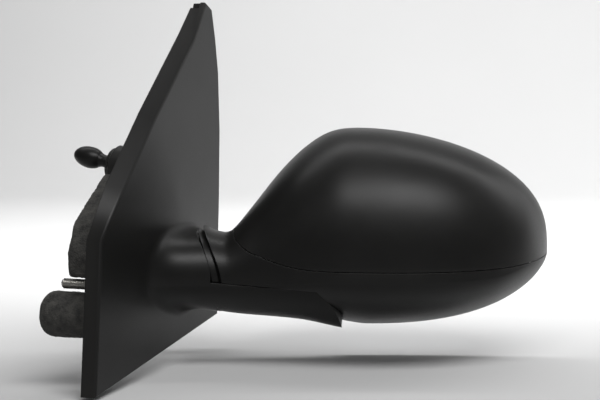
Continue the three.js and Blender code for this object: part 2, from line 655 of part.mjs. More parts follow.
function leverStick() {
  const ball = solid(new THREE.SphereGeometry(BALL_RADIUS, 18, 12));
  const stem = union(solid(rodX(3, -18, 0, 0, 0, 14)), solid(rodX(2.6, 0, 12, 0, 0, 14)));
  const spider = solid(rodX(8, 9.6, 12, 0, 0, 24));
  const holes = wireAngles.map((a) => solid(
    rodX(1.9, 8, 14, WIRE_CIRCLE * Math.cos(a), WIRE_CIRCLE * Math.sin(a), 12)));
  const pinBore = solid(rodY(PIN + FIT, -20, 20, 0, 0, 14));
  return part('lever_stick', union(ball, stem, spider).subtract(union(pinBore, ...holes)), 'dark');
}

function leverKnob() {
  const body = new THREE.SphereGeometry(1, 16, 10).rotateZ(Math.PI / 2).scale(10, 7.2, 6.8);
  const collar = rodX(4, 6, 12.9, 0, 0, 20);
  const socket = rodX(3 + FIT, 3, 20, 0, 0, 16);
  const knob = solid(body).add(solid(collar)).subtract(solid(socket));
  const mesh = part('lever_knob', knob, 'black');
  mesh.position.set(-21.4, 0, 0);
  return mesh;
}

function leverCrossPin() {
  return part('lever_cross_pin', rodY(PIN, -PIN_REACH, PIN_REACH, 0, 0, 12), 'steel');
}

function cableStopBase() {
  const disc = solid(rodX(12.1, 15, 17.4, 0, 0, 32));
  const holes = wireAngles.map((a) => solid(
    rodX(3.4, 10, 20, WIRE_CIRCLE * Math.cos(a), WIRE_CIRCLE * Math.sin(a), 14)));
  return part('cable_stop_base', disc.subtract(union(...holes)), 'acetal');
}

function leverWire(number, angle) {
  const y = WIRE_CIRCLE * Math.cos(angle);
  const z = WIRE_CIRCLE * Math.sin(angle);
  const nipple = solid(rodX(1.6, 9.9, 11.7, y, z, 12));
  return part(`wire_lever_${number}`, nipple.add(solid(rodX(WIRE, 11, 13.2, y, z, 8))), 'steel');
}

// ---------------------------------------------------------------- fold joint, in the fold frame

function pivotTube() {
  const profile = [[6.6, -11.7], [12.8, -11.7], [12.8, -9.3], [8.6, -9.3], [8.6, 27.5], [7.6, 27.5],
    [7.6, 29.4], [8.6, 29.4], [8.6, 33], [6.6, 33]];
  return part('pivot_tube', solid(turnedRing(profile)).subtract(solid(block(...CABLE_NOTCH))), 'steel');
}

const DETENTS = 4;

function detentRing(name, from, to, notchFrom, notchTo) {
  const ring = solid(turnedRing([[8.95, from], [15.8, from], [15.8, to], [8.95, to]], 24));
  const notches = [];
  for (let i = 0; i < DETENTS; i += 1) {
    notches.push(solid(block(8, 17, -2, 2, notchFrom, notchTo).rotateZ((i * 2 * Math.PI) / DETENTS)));
  }
  return part(name, ring.subtract(union(...notches)), 'steel');
}

function foldSpring() {
  const turns = 3.6;
  const radius = 12.3;
  const wire = 1.25;
  const low = 12.1 + wire;
  const high = 25.5 - wire;
  const points = [];
  for (let i = 0; i <= 48; i += 1) {
    const t = i / 48;
    const angle = 2 * Math.PI * turns * t;
    points.push(v(radius * Math.cos(angle), radius * Math.sin(angle), low + (high - low) * t));
  }
  return part('fold_spring', tube(points, wire, 48), 'steel');
}

function springSeat() {
  return part('spring_seat', solid(turnedRing([[8.95, 25.9], [15, 25.9], [15, 27.2], [8.95, 27.2]])), 'zinc');
}

function springClip() {
  const arc = new THREE.Shape();
  const open = THREE.MathUtils.degToRad(35);
  arc.absarc(0, 0, 11.4, open, 2 * Math.PI - open, false);
  arc.absarc(0, 0, 7.95, 2 * Math.PI - open, open, true);
  return part('spring_clip', alongZ(arc, 27.8, 29), 'steel');
}

// ---------------------------------------------------------------- head bracket and glass

const wireSpot = (angle) => [GLASS_PIVOT[0] + WIRE_REACH * Math.cos(angle),
  GLASS_PIVOT[2] + WIRE_REACH * Math.sin(angle)];

function headBracket() {
  const outline = path2([[97, -43], [114, -44], [118.5, -50], [118.5, -66], [132, -66], [148, -54],
    [178, -58], [193, -56], [193, -44], [181, -16], [164, 14], [134, 14], [112, -6], [97, -20]]);
  const plate = solid(alongY(outline, ...PLATE_Y));
  const hub = solid(rodZ(19.5, 6.9, 11.9, 0, 0, 40), FOLD_TO_HEAD);
  const tongue = solid(block(8, 26, -9, 7, 6.9, 11.9), FOLD_TO_HEAD);
  const ear = solid(block(-34, -10, -6, 6, 6.9, 11.9), FOLD_TO_HEAD);
  const ribs = union(solid(block(97, 190, -7, PLATE_Y[0] + 1, -41, -38)),
    solid(block(98, 136, -7, PLATE_Y[0] + 1, -22, -19)));
  const [px, py, pz] = GLASS_PIVOT;
  const post = solid(new THREE.CylinderGeometry(4, 7, py - PLATE_Y[1] + 1, 24)
    .translate(px, (py + PLATE_Y[1]) / 2, pz));
  const ball = solid(new THREE.SphereGeometry(BALL_RADIUS, 18, 12).translate(px, py, pz));
  const pinSlot = solid(block(px - 12, px + 12, py - 3.2, py + 3.2, pz - PIN - FIT, pz + PIN + FIT));
  const drills = union(
    solid(rodZ(9, 0, 20), FOLD_TO_HEAD),
    solid(rodZ(1.9, 0, 20, FLOOR_BOSS, 0, 12), FOLD_TO_HEAD),
    ...HEAD_BOSSES.map(([x, z]) => solid(rodY(1.9, -5, 12, x, z, 12))),
    ...wireAngles.map((a) => solid(rodY(3.8, -2, 10, ...wireSpot(a), 16))),
    pinSlot,
  );
  return part('head_bracket', union(plate, hub, tongue, ear, ribs, post, ball).subtract(drills), 'cast');
}

function cableStopHead() {
  const [px, , pz] = GLASS_PIVOT;
  const disc = solid(rodY(WIRE_REACH + 5, -1.2, PLATE_Y[0] - FIT, px, pz, 36));
  const middle = solid(rodY(WIRE_REACH - 6, -5, 5, px, pz, 30));
  const below = solid(block(0, TOOL, -20, 20, -44, -18.1 - WIRE_REACH * 0.5 - 5));
  const ribSpace = union(
    solid(block(90, 195, -8, 4, -41.4, -37.6)),
    solid(block(90, 137, -8, 4, -22.4, -18.6)),
  );
  const holes = wireAngles.map((a) => solid(rodY(3.4, -5, 5, ...wireSpot(a), 14)));
  const shape = disc.subtract(union(middle, below, ribSpace, ...holes));
  const pieces = shape.decompose().sort((a, b) => b.volume() - a.volume());
  return part('cable_stop_head', pieces[0], 'acetal');
}

const CARRIER_Y = [27, 30.2];
const GLASS_Y = [30.5, 32.5];

function glassCarrier() {
  const [px, py, pz] = GLASS_PIVOT;
  const tray = solid(alongY(openingOutline(GLASS_INSET - 1.6), CARRIER_Y[0], GLASS_Y[1] - 0.6))
    .subtract(solid(alongY(openingOutline(GLASS_INSET - 0.4), CARRIER_Y[1], 40)));
  const socket = solid(rodY(13, py - 3.5, CARRIER_Y[0] + 1, px, pz, 32));
  const seat = union(
    solid(new THREE.SphereGeometry(BALL_RADIUS + FIT, 18, 12).translate(px, py, pz)),
    solid(rodY(7.9, 0, py, px, pz, 24)),
    solid(rodX(PIN + FIT, px - 12.5, px + 12.5, py, pz)),
  );
  const arms = wireAngles.map((a) => {
    const arm = solid(rodY(4, CARRIER_Y[0] - 4.5, CARRIER_Y[0] + 1, ...wireSpot(a), 16));
    return arm.subtract(solid(rodY(1.9, 0, CARRIER_Y[0] - 1.5, ...wireSpot(a))));
  });
  return part('glass_carrier', union(tray, socket).subtract(seat).add(union(...arms)), 'dark');
}

function mirrorGlass() {
  return part('mirror_glass', alongY(openingOutline(GLASS_INSET), ...GLASS_Y), 'mirror');
}

function glassCrossPin() {
  const [px, py, pz] = GLASS_PIVOT;
  return part('glass_cross_pin', rodX(PIN, px - 11.8, px + 11.8, py, pz, 12), 'steel');
}

function glassWire(number, angle) {
  const [x, z] = wireSpot(angle);
  const nipple = solid(rodY(1.6, CARRIER_Y[0] - 4, CARRIER_Y[0] - 1.8, x, z, 12));
  const wire = solid(rodY(WIRE, PLATE_Y[1] + 0.3, CARRIER_Y[0] - 3, x, z, 8));
  return part(`wire_glass_${number}`, nipple.add(wire), 'steel');
}

function bracketScrew(number, [x, z]) {
  const head = solid(rodY(3.4, PLATE_Y[1] + 0.1, PLATE_Y[1] + 2.3, x, z, 16));
  return part(`bracket_screw_${number}`, head.add(solid(rodY(1.35, -6, PLATE_Y[1] + 1, x, z, 10))), 'zinc');
}

function floorScrew() {
  const head = rodZ(3.4, 12, 14.2, FLOOR_BOSS, 0, 16);
  const shank = rodZ(1.35, 3.4, 13, FLOOR_BOSS, 0, 10);
  return part('bracket_screw_3', solid(head).add(solid(shank)), 'zinc');
}

// ---------------------------------------------------------------- conduits

// Where each conduit stands in the pivot tube, in the fold frame.
const TUBE_SPOTS = [120, 240, 0].map((degrees) => {
  const angle = THREE.MathUtils.degToRad(degrees);
  return [CONDUIT_CIRCLE * Math.cos(angle), CONDUIT_CIRCLE * Math.sin(angle)];
});

const foldToRow = (x, y, z) => v(x, y, z).applyMatrix4(FOLD_TO_ROW);
const foldToHead = (x, y, z) => v(x, y, z).applyMatrix4(FOLD_TO_HEAD);

// The way of each conduit through the arm, in the fold frame: the third crosses under the first.
const ARM_RUNS = [
  [[-62, 0, -11.5], [-45, 1.5, -11.4], [-26, 4, -11.4], [-12, 3.9, -8.6], [-4, 3.7, -3]],
  [[-62, -4.8, -12.1], [-34, -4.6, -12.6], [-14, -4, -9.6], [-4.5, -3.7, -3]],
  [[-66, 5, -11.6], [-52, 4.2, -13.8], [-38, 1.5, -15.3], [-24, 0, -15.2], [-9, 0, -12.8], [2, 0, -5.5]],
];

// From the lever, down behind the sail, out along the arm and up into the pivot tube.
function baseConduit(number, angle) {
  const atLever = (x) => v(x, WIRE_CIRCLE * Math.cos(angle), WIRE_CIRCLE * Math.sin(angle))
    .applyMatrix4(LEVER_TO_ROW);
  const side = Math.sign(Math.round(Math.cos(angle))) * 5.2;
  const [cx, cy] = TUBE_SPOTS[number - 1];
  const points = [
    atLever(17.8), atLever(19.5),
    v(3.2, LEVER_BALL[1] + side, -1), v(3.2, LEVER_BALL[1] + side, -22),
    v(3.4, -10 + 0.9 * side, -42),
    ...ARM_RUNS[number - 1].map((at) => foldToRow(...at)),
    foldToRow(cx, cy, 2), foldToRow(cx, cy, CONDUIT_SPLIT - FIT),
  ];
  return part(`conduit_base_${number}`, tube(points, CONDUIT, 30), 'dark');
}

// The way of each conduit inside the head, in the head frame, up to its hole in the bracket.
const HEAD_RUNS = [
  [[86, 0, 0], [104, -10, 8], [132, -17, 9], [145, -13, 6]],
  [[86, -11, -3], [104, -22, -1], [134, -28, -14], [158, -24, -28], [167.5, -14, -30]],
  [[93, -5, -7], [106, -14, -12], [118, -19, -25], [125.5, -14, -30]],
];
const HEAD_SPOTS = [0, 2, 1].map((i) => wireSpot(wireAngles[i]));

// Up out of the pivot tube, over to the glass pivot and square onto the bracket's plate.
function headConduit(number) {
  const [cx, cy] = TUBE_SPOTS[number - 1];
  const [x, z] = HEAD_SPOTS[number - 1];
  const points = [
    foldToHead(cx, cy, CONDUIT_SPLIT), foldToHead(cx, cy, 20), foldToHead(cx, cy, 34),
    ...HEAD_RUNS[number - 1].map((at) => v(...at)),
    v(x, -5, z), v(x, -1.6, z),
  ];
  return part(`conduit_head_${number}`, tube(points, CONDUIT, 24), 'dark');
}

// ---------------------------------------------------------------- assembly

function placed(matrix, meshes) {
  const group = new THREE.Group();
  group.applyMatrix4(matrix);
  group.add(...meshes);
  return group;
}

const mirror = new THREE.Group();
mirror.add(
  sailCover(),
  armBottomCover(),
  baseBracket(),
  ...STUDS.map((at, i) => mountingStud(i + 1, at)),
  ...COVER_SCREWS.map((at, i) => coverScrew(i + 1, at)),
  foamGasket(),
  foamPlug(),
  leverHousing(),
  leverScrew(1, -1),
  leverScrew(2, 1),
  ...wireAngles.map((angle, i) => baseConduit(i + 1, angle)),
);
mirror.add(placed(LEVER_TO_ROW, [
  leverStick(),
  leverKnob(),
  leverCrossPin(),
  cableStopBase(),
  ...wireAngles.map((angle, i) => leverWire(i + 1, angle)),
]));
mirror.add(placed(FOLD_TO_ROW, [
  pivotTube(),
  detentRing('detent_ring_lower', -2.7, 2.3, 1.4, 3),
  detentRing('detent_ring_upper', 2.65, 6.55, 2, 3.5),
  foldSpring(),
  springSeat(),
  springClip(),
  floorScrew(),
  ...HATCH_SCREWS.map((at, i) => hatchScrew(i + 4, at)),
]));
mirror.add(placed(HEAD_TO_ROW, [
  headHousing(),
  upperCap(),
  headBracket(),
  cableStopHead(),
  glassCarrier(),
  mirrorGlass(),
  glassCrossPin(),
  ...wireAngles.map((angle, i) => glassWire(i + 1, angle)),
  ...HEAD_BOSSES.map((at, i) => bracketScrew(i + 1, at)),
  ...TUBE_SPOTS.map((_, i) => headConduit(i + 1)),
]));

export default mirror;
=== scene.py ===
import json
import math

import bmesh
import bpy
from mathutils import Matrix, Vector, noise


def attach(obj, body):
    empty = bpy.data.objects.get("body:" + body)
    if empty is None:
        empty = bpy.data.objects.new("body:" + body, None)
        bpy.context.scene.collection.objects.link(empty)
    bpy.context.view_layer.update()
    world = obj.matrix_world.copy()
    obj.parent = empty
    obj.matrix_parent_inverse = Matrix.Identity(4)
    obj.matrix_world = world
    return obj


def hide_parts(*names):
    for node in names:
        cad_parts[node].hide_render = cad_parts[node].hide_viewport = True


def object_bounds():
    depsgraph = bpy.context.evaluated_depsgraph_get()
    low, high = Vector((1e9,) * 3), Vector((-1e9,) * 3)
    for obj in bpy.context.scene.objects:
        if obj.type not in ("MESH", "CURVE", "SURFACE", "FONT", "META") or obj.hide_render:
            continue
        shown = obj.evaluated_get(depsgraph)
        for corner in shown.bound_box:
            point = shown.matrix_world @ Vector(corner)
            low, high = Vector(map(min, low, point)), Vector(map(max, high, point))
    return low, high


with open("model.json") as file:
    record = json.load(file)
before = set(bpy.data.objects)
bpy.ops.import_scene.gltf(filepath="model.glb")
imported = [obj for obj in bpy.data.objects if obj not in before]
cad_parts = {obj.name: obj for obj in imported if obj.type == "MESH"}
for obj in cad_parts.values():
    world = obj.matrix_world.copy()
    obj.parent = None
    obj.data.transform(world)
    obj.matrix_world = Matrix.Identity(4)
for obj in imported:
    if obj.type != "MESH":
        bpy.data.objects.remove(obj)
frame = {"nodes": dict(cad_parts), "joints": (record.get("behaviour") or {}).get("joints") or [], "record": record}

CAD_BOX = [list(corner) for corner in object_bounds()]
MM = 0.001
WELD = 0.12

# ------------------------------------------------------------------ the frame's own axes

JOINTS = {joint["name"]: joint for joint in frame["joints"]}
FOLD = JOINTS["fold"]
HEAD_AXIS = Vector(JOINTS["glass_tilt"]["axis"])
SWEEP = math.atan2(HEAD_AXIS.y, HEAD_AXIS.x)
FOLD_TILT = math.acos(FOLD["axis"][2] / Vector(FOLD["axis"]).length)

HEAD_TO_ROW = Matrix.Rotation(SWEEP, 4, "Z")
FOLD_POINT = HEAD_TO_ROW.inverted() @ (Vector(FOLD["pos_m"]) / MM)
FOLD_TO_HEAD = Matrix.Translation(FOLD_POINT) @ Matrix.Rotation(FOLD_TILT, 4, "Y")
FOLD_TO_ROW = HEAD_TO_ROW @ FOLD_TO_HEAD
GLASS_PIVOT = HEAD_TO_ROW.inverted() @ (Vector(JOINTS["glass_pan"]["pos_m"]) / MM)
LEVER_BALL = Vector(JOINTS["lever_pan"]["pos_m"]) / MM
LEVER_TILT = math.atan2(JOINTS["lever_pan"]["axis"][0], JOINTS["lever_pan"]["axis"][2])
LEVER_TO_ROW = Matrix.Translation(LEVER_BALL) @ Matrix.Rotation(LEVER_TILT, 4, "Y")

# ------------------------------------------------------------------ dimensions, millimetres

WALL = 2.4
FIT = 0.35
FAR = 400.0
TIP_X, TIP_Z = 241.7, -33.3
CREST = (122.0, 43.3)
KEEL = (128.0, -81.8)
NOSE = (145.0, -46.0)
RIM_Y = 35.0
RIM_DEPTH = 7.6
RIM_LIP = 5.5
GLASS_INSET = 9.8
SEAM_GAP = 0.25
ARM_REAR = 28.0
ARM_FRONT = -30.5
UNDER_POWER = 1.5
ARM_RADIUS = 33.5
RECESS_RADIUS = 34.7
NECK_START, NECK_STOP = 15.0, 54.0
NECK_RADIUS = 50.5
GROOVE_SLOPE = 0.19
GROOVE_WIDTH = 4.8
COLLAR = 3.5
COLLAR_INSET = 3.0
FOLD_FORWARD = -math.radians(FOLD["range_deg"][0])
FOLD_BACK = math.radians(FOLD["range_deg"][1])
SAIL_FACE = 10.0
SAIL_BACK = 0.6
BEVEL = 5.0
FOOT_CENTRE = (3.0, -47.0)
FOOT_SIZE = (50.0, 33.5, 25.5)
FOOT_END = 36.0
FLARE = 0.9
BALL_RADIUS = 8.0
END_FLAT = 0.01
SECTION_POWER = 2.3

# ------------------------------------------------------------------ camera

VIEW_AZIMUTH = SWEEP
VIEW_ELEVATION = math.radians(5)
VIEW_DISTANCE = 871.0
VIEW_TARGET = HEAD_TO_ROW @ Vector((84.2, 0, 0))
LENS = 85
SENSOR = 36


def make_camera():
    lens = bpy.data.cameras.new("camera")
    lens.lens = LENS
    lens.sensor_width = SENSOR
    camera = bpy.data.objects.new("camera", lens)
    bpy.context.scene.collection.objects.link(camera)
    back = Vector((
        math.sin(VIEW_AZIMUTH) * math.cos(VIEW_ELEVATION),
        -math.cos(VIEW_AZIMUTH) * math.cos(VIEW_ELEVATION),
        math.sin(VIEW_ELEVATION),
    ))
    camera.location = (VIEW_TARGET + VIEW_DISTANCE * back) * MM
    camera.rotation_euler = back.to_track_quat("Z", "Y").to_euler()
    bpy.context.scene.camera = camera


make_camera()

# ------------------------------------------------------------------ mesh helpers


def new_object(name, vertices, faces):
    mesh = bpy.data.meshes.new(name)
    mesh.from_pydata([tuple(p) for p in vertices], [], faces)
    mesh.update()
    obj = bpy.data.objects.new(name, mesh)
    bpy.context.scene.collection.objects.link(obj)
    return obj


def loft(name, rings):
    """A closed skin over rings of points, each ring the same way round seen from the last."""
    count = len(rings[0])
    vertices = [p for ring in rings for p in ring]
    faces = [tuple(reversed(range(count)))]
    for i in range(len(rings) - 1):
        for k in range(count):
            a = i * count + k
            b = i * count + (k + 1) % count
            faces.append((a, b, b + count, a + count))
    last = (len(rings) - 1) * count
    faces.append(tuple(range(last, last + count)))
    return new_object(name, vertices, faces)


def applied(obj):
    """Applies the object's modifiers to its mesh."""
    depsgraph = bpy.context.evaluated_depsgraph_get()
    mesh = bpy.data.meshes.new_from_object(obj.evaluated_get(depsgraph))
    obj.modifiers.clear()
    obj.data = mesh
    return obj


def combine(operation, target, *tools):
    for tool in tools:
        change = target.modifiers.new(operation.lower(), "BOOLEAN")
        change.operation = operation
        change.solver = "MANIFOLD"
        change.object = tool
    applied(target)
    for tool in tools:
        bpy.data.objects.remove(tool)
    return target


def cut(target, *tools):
    return combine("DIFFERENCE", target, *tools)


def join(target, *tools):
    return combine("UNION", target, *tools)


def common(target, *tools):
    return combine("INTERSECT", target, *tools)


def copy_of(obj):
    twin = obj.copy()
    twin.data = obj.data.copy()
    bpy.context.scene.collection.objects.link(twin)
    return twin


def moved(obj, matrix):
    obj.data.transform(matrix)
    return obj


def prism(name, outline, axis, low, high):
    """An outline swept along an axis; the outline's two coordinates are the other axes in order."""
    def place(a, b, c):
        return {"X": (c, a, b), "Y": (a, c, b), "Z": (a, b, c)}[axis]
    rings = [[place(a, b, at) for a, b in outline] for at in (low, high)]
    obj = loft(name, rings)
    orient(obj)
    return obj


def weld(obj, distance):
    work = bmesh.new()
    work.from_mesh(obj.data)
    bmesh.ops.remove_doubles(work, verts=work.verts, dist=distance)
    bmesh.ops.dissolve_degenerate(work, edges=work.edges, dist=distance / 4)
    work.to_mesh(obj.data)
    work.free()


def orient(obj):
    work = bmesh.new()
    work.from_mesh(obj.data)
    bmesh.ops.recalc_face_normals(work, faces=work.faces)
    work.to_mesh(obj.data)
    work.free()


def block(x0, x1, y0, y1, z0, z1):
    return prism("block", [(x0, y0), (x1, y0), (x1, y1), (x0, y1)], "Z", z0, z1)


def turned(name, profile, sides=64, closed=True):
    """A solid of revolution about z, from [radius, z] points that go once round the section."""
    rings = []
    for radius, z in profile:
        rings.append([(radius * math.cos(2 * math.pi * k / sides),
                       radius * math.sin(2 * math.pi * k / sides), z) for k in range(sides)])
    vertices = [p for ring in rings for p in ring]
    steps = len(rings) if closed else len(rings) - 1
    faces = []
    for i in range(steps):
        j = (i + 1) % len(rings)
        for k in range(sides):
            m = (k + 1) % sides
            faces.append((i * sides + k, i * sides + m, j * sides + m, j * sides + k))
    if not closed:
        faces.append(tuple(range(sides)))
        last = (len(rings) - 1) * sides
        faces.append(tuple(range(last, last + sides)))
    obj = new_object(name, vertices, faces)
    orient(obj)
    return obj


def rod(radius, low, high, sides=40):
    return turned("rod", [(radius, low), (radius, high)], sides, closed=False)


AXIS_X = Matrix.Rotation(math.pi / 2, 4, "Y")
AXIS_Y = Matrix.Rotation(-math.pi / 2, 4, "X")


def rod_x(radius, low, high, y, z, sides=40):
    return moved(rod(radius, low, high, sides), Matrix.Translation((0, y, z)) @ AXIS_X)


def rod_y(radius, low, high, x, z, sides=40):
    return moved(rod(radius, low, high, sides), Matrix.Translation((x, 0, z)) @ AXIS_Y)


# ------------------------------------------------------------------ outer envelope


def curve_through(points):
    """A smooth curve through (x, value) points, level at both ends."""
    slope = [0.0] * len(points)
    for i in range(1, len(points) - 1):
        slope[i] = (points[i + 1][1] - points[i - 1][1]) / (points[i + 1][0] - points[i - 1][0])

    def value(x):
        if x <= points[0][0]:
            return points[0][1]
        if x >= points[-1][0]:
            return points[-1][1]
        i = next(n for n in range(1, len(points)) if points[n][0] >= x) - 1
        (x0, a), (x1, b) = points[i], points[i + 1]
        w = x1 - x0
        t = (x - x0) / w
        return ((1 + 2 * t) * (1 - t) ** 2 * a + t * (1 - t) ** 2 * w * slope[i]
                + t * t * (3 - 2 * t) * b + t * t * (t - 1) * w * slope[i + 1])
    return value


def towards_tip(x, start, power, root):
    along = min((x - start) / (TIP_X - start), 1)
    return (1 - along ** power) ** (1 / root)


top_line = curve_through([(16, -13), (26, -16.5), (35, -19.8), (42, -19), (54, -5.9),
                          (72, 16.1), (88, 31.5), (104, 41), CREST])
bottom_line = curve_through([(16, -67), (47, -70.4), (85, -74), (110, -79.3), KEEL])
front_line = curve_through([(16, -29), (45, -29.5), (62, -31.5), (85, -37.5), (110, -43), NOSE])
nose_height = curve_through([(45, -48), (110, -45), (200, -43.5), (TIP_X, -35)])
crest_y = curve_through([(40, 3), (60, 15), (80, 27), (100, 32)])
rear_y = curve_through([(38, ARM_REAR), (62, RIM_Y)])
rear_power = curve_through([(38, 2.4), (70, 7)])


def head_top(x):
    if x < CREST[0]:
        return top_line(x)
    return TIP_Z + (CREST[1] - TIP_Z) * towards_tip(x, CREST[0], 1.75, 2.5)


def head_bottom(x):
    if x < KEEL[0]:
        return bottom_line(x)
    return TIP_Z + (KEEL[1] - TIP_Z) * towards_tip(x, KEEL[0], 2.35, 1.8)


def head_front(x):
    if x < NOSE[0]:
        return front_line(x)
    return RIM_Y + (NOSE[1] - RIM_Y) * towards_tip(x, NOSE[0], 2.1, 2)


def signed_power(value, power):
    return math.copysign(abs(value) ** power, value)


def section_power(c, s, rear):
    if c > 0:
        return rear
    return UNDER_POWER if s < 0 else SECTION_POWER


def envelope_ring(x, inset, is_arm, count):
    """The outer section of the head or the arm at one place along the head's axis."""
    front = (max(head_front(x), ARM_FRONT) if is_arm else head_front(x)) + inset
    rear = (ARM_REAR if is_arm else rear_y(x)) - inset
    middle_y = 0 if is_arm else min(max(crest_y(x), front + 1), rear - 1)
    middle_z = nose_height(x)
    top = head_top(x) - inset
    bottom = head_bottom(x) + inset
    ring = []
    for k in range(count):
        c = math.cos(2 * math.pi * k / count)
        s = math.sin(2 * math.pi * k / count)
        power = section_power(c, s, SECTION_POWER if is_arm else rear_power(x))
        reach = rear - middle_y if c > 0 else middle_y - front
        rise = top - middle_z if s > 0 else middle_z - bottom
        ring.append((x, middle_y + reach * signed_power(c, 2 / power),
                     middle_z + rise * signed_power(s, 2 / power)))
    return ring


def head_body(inset, to, count, neck_steps, steps):
    """The head and neck as one full body, in the head frame."""
    places = [NECK_START + (NECK_STOP - NECK_START) * i / neck_steps for i in range(neck_steps)]
    places += [NECK_STOP + (to - NECK_STOP) * math.sin(math.pi / 2 * i / steps)
               for i in range(steps + 1)]
    return loft("head_body", [envelope_ring(x, inset, False, count) for x in places])


def foot_body(inset, root_x, foot_inset, count, flare_steps, arm_steps):
    """The foot flares out of the sail and becomes the arm, in the row's frame."""
    end = [HEAD_TO_ROW @ Vector(p) for p in envelope_ring(FOOT_END, inset, True, count)]
    away = HEAD_AXIS.normalized()
    prints = []
    for k in range(count):
        c = math.cos(2 * math.pi * k / count)
        s = math.sin(2 * math.pi * k / count)
        power = section_power(c, s, SECTION_POWER)
        rise = (FOOT_SIZE[1] if s > 0 else FOOT_SIZE[2]) - foot_inset
        prints.append(Vector((
            SAIL_FACE,
            FOOT_CENTRE[0] + (FOOT_SIZE[0] - foot_inset) * signed_power(c, 2 / power),
            FOOT_CENTRE[1] + rise * signed_power(s, 2 / power))))
    rings = [[Vector((root_x, p.y, p.z)) for p in prints]]
    for i in range(flare_steps + 1):
        t = i / flare_steps
        ring = []
        for p, q in zip(prints, end):
            chord = (q - p).length
            inward = Vector((0, FOOT_CENTRE[0] - p.y, FOOT_CENTRE[1] - p.z)).normalized() * FLARE * chord
            ring.append(p * ((1 + 2 * t) * (1 - t) ** 2) + inward * (t * (1 - t) ** 2)
                        + q * (t * t * (3 - 2 * t)) + away * (t * t * (t - 1) * FLARE * chord))
        rings.append(ring)
    far = FOLD_POINT.x + ARM_RADIUS + 4
    for i in range(1, arm_steps + 1):
        x = FOOT_END + (far - FOOT_END) * i / arm_steps
        rings.append([HEAD_TO_ROW @ Vector(p) for p in envelope_ring(x, inset, True, count)])
    return loft("foot_body", rings)


# ------------------------------------------------------------------ fold clearances


def arm_sweep(margin, top):
    """What the arm sweeps in the head between both ends of the fold, in the head frame."""
    radius = RECESS_RADIUS + margin
    back = math.pi / 2 - FOLD_BACK
    forward = FOLD_FORWARD - math.pi / 2
    steps = 48
    outline = [(radius * math.cos(forward + (back - forward) * i / steps),
                radius * math.sin(forward + (back - forward) * i / steps)) for i in range(steps + 1)]

    def far(angle, side):
        along = side * FAR / 2
        return (radius * math.cos(angle) - math.sin(angle) * along,
                radius * math.sin(angle) + math.cos(angle) * along)
    behind = far(back, 1)
    ahead = far(forward, -1)
    outline += [behind, (-FAR / 2, behind[1]), (-FAR / 2, ahead[1]), ahead]
    return moved(prism("arm_sweep", outline, "Z", -FAR / 4, top), FOLD_TO_HEAD)


def groove_cone(offset, low, high):
    """The cone about the fold axis where the neck starts."""
    def radius(z):
        return NECK_RADIUS + offset + GROOVE_SLOPE * z
    return turned("groove", [(radius(low), low), (radius(high), high)], 180, closed=False)


def beyond_neck(offset):
    """All that lies on the door's side of the neck, in the head frame."""
    slab = block(-FAR / 2, NECK_STOP, -FAR / 2, FAR / 2, -FAR / 2, FAR / 2)
    return cut(slab, moved(groove_cone(offset, -80, 80), FOLD_TO_HEAD))


# ------------------------------------------------------------------ materials


class Nodes:
    """Short way to build one material's node tree."""

    def __init__(self, name):
        self.material = bpy.data.materials.new(name)
        self.material.use_nodes = True
        self.tree = self.material.node_tree
        self.shader = self.tree.nodes["Principled BSDF"]
        self.coordinates = self.tree.nodes.new("ShaderNodeTexCoord").outputs["Object"]

    def set(self, **values):
        for name, value in values.items():
            self.shader.inputs[name.replace("_", " ")].default_value = value

    def node(self, kind, inputs=(), **settings):
        made = self.tree.nodes.new(kind)
        for name, value in settings.items():
            setattr(made, name, value)
        for name, value in dict(inputs).items():
            if hasattr(value, "is_linked"):
                self.tree.links.new(value, made.inputs[name])
            else:
                made.inputs[name].default_value = value
        return made

    def noise(self, size_mm, detail=3.0, roughness=0.55):
        made = self.node("ShaderNodeTexNoise", {"Vector": self.coordinates, "Scale": 1 / (size_mm * MM),
                                                "Detail": detail, "Roughness": roughness})
        return made.outputs["Fac"]

    def ramp(self, factor, low, high, low_at=0.3, high_at=0.7):
        made = self.node("ShaderNodeMapRange", {"Value": factor, "From Min": low_at, "From Max": high_at,
                                                "To Min": low, "To Max": high})
        return made.outputs["Result"]

    def mix_colour(self, factor, first, second):
        made = self.node("ShaderNodeMix", data_type="RGBA")
        for socket, value in ((0, factor), (6, first), (7, second)):
            if hasattr(value, "is_linked"):
                self.tree.links.new(value, made.inputs[socket])
            else:
                made.inputs[socket].default_value = value
        return made.outputs[2]

    def drive(self, name, value):
        self.tree.links.new(value, self.shader.inputs[name])

    def bump(self, height, distance_mm, strength=1.0, under=None):
        inputs = {"Height": height, "Distance": distance_mm * MM, "Strength": strength}
        if under is not None:
            inputs["Normal"] = under
        made = self.node("ShaderNodeBump", inputs)
        return made.outputs["Normal"]


def grey(level, warm=0.0):
    return (level * (1 + warm), level * (1 + warm * 0.4), level * (1 - warm), 1)


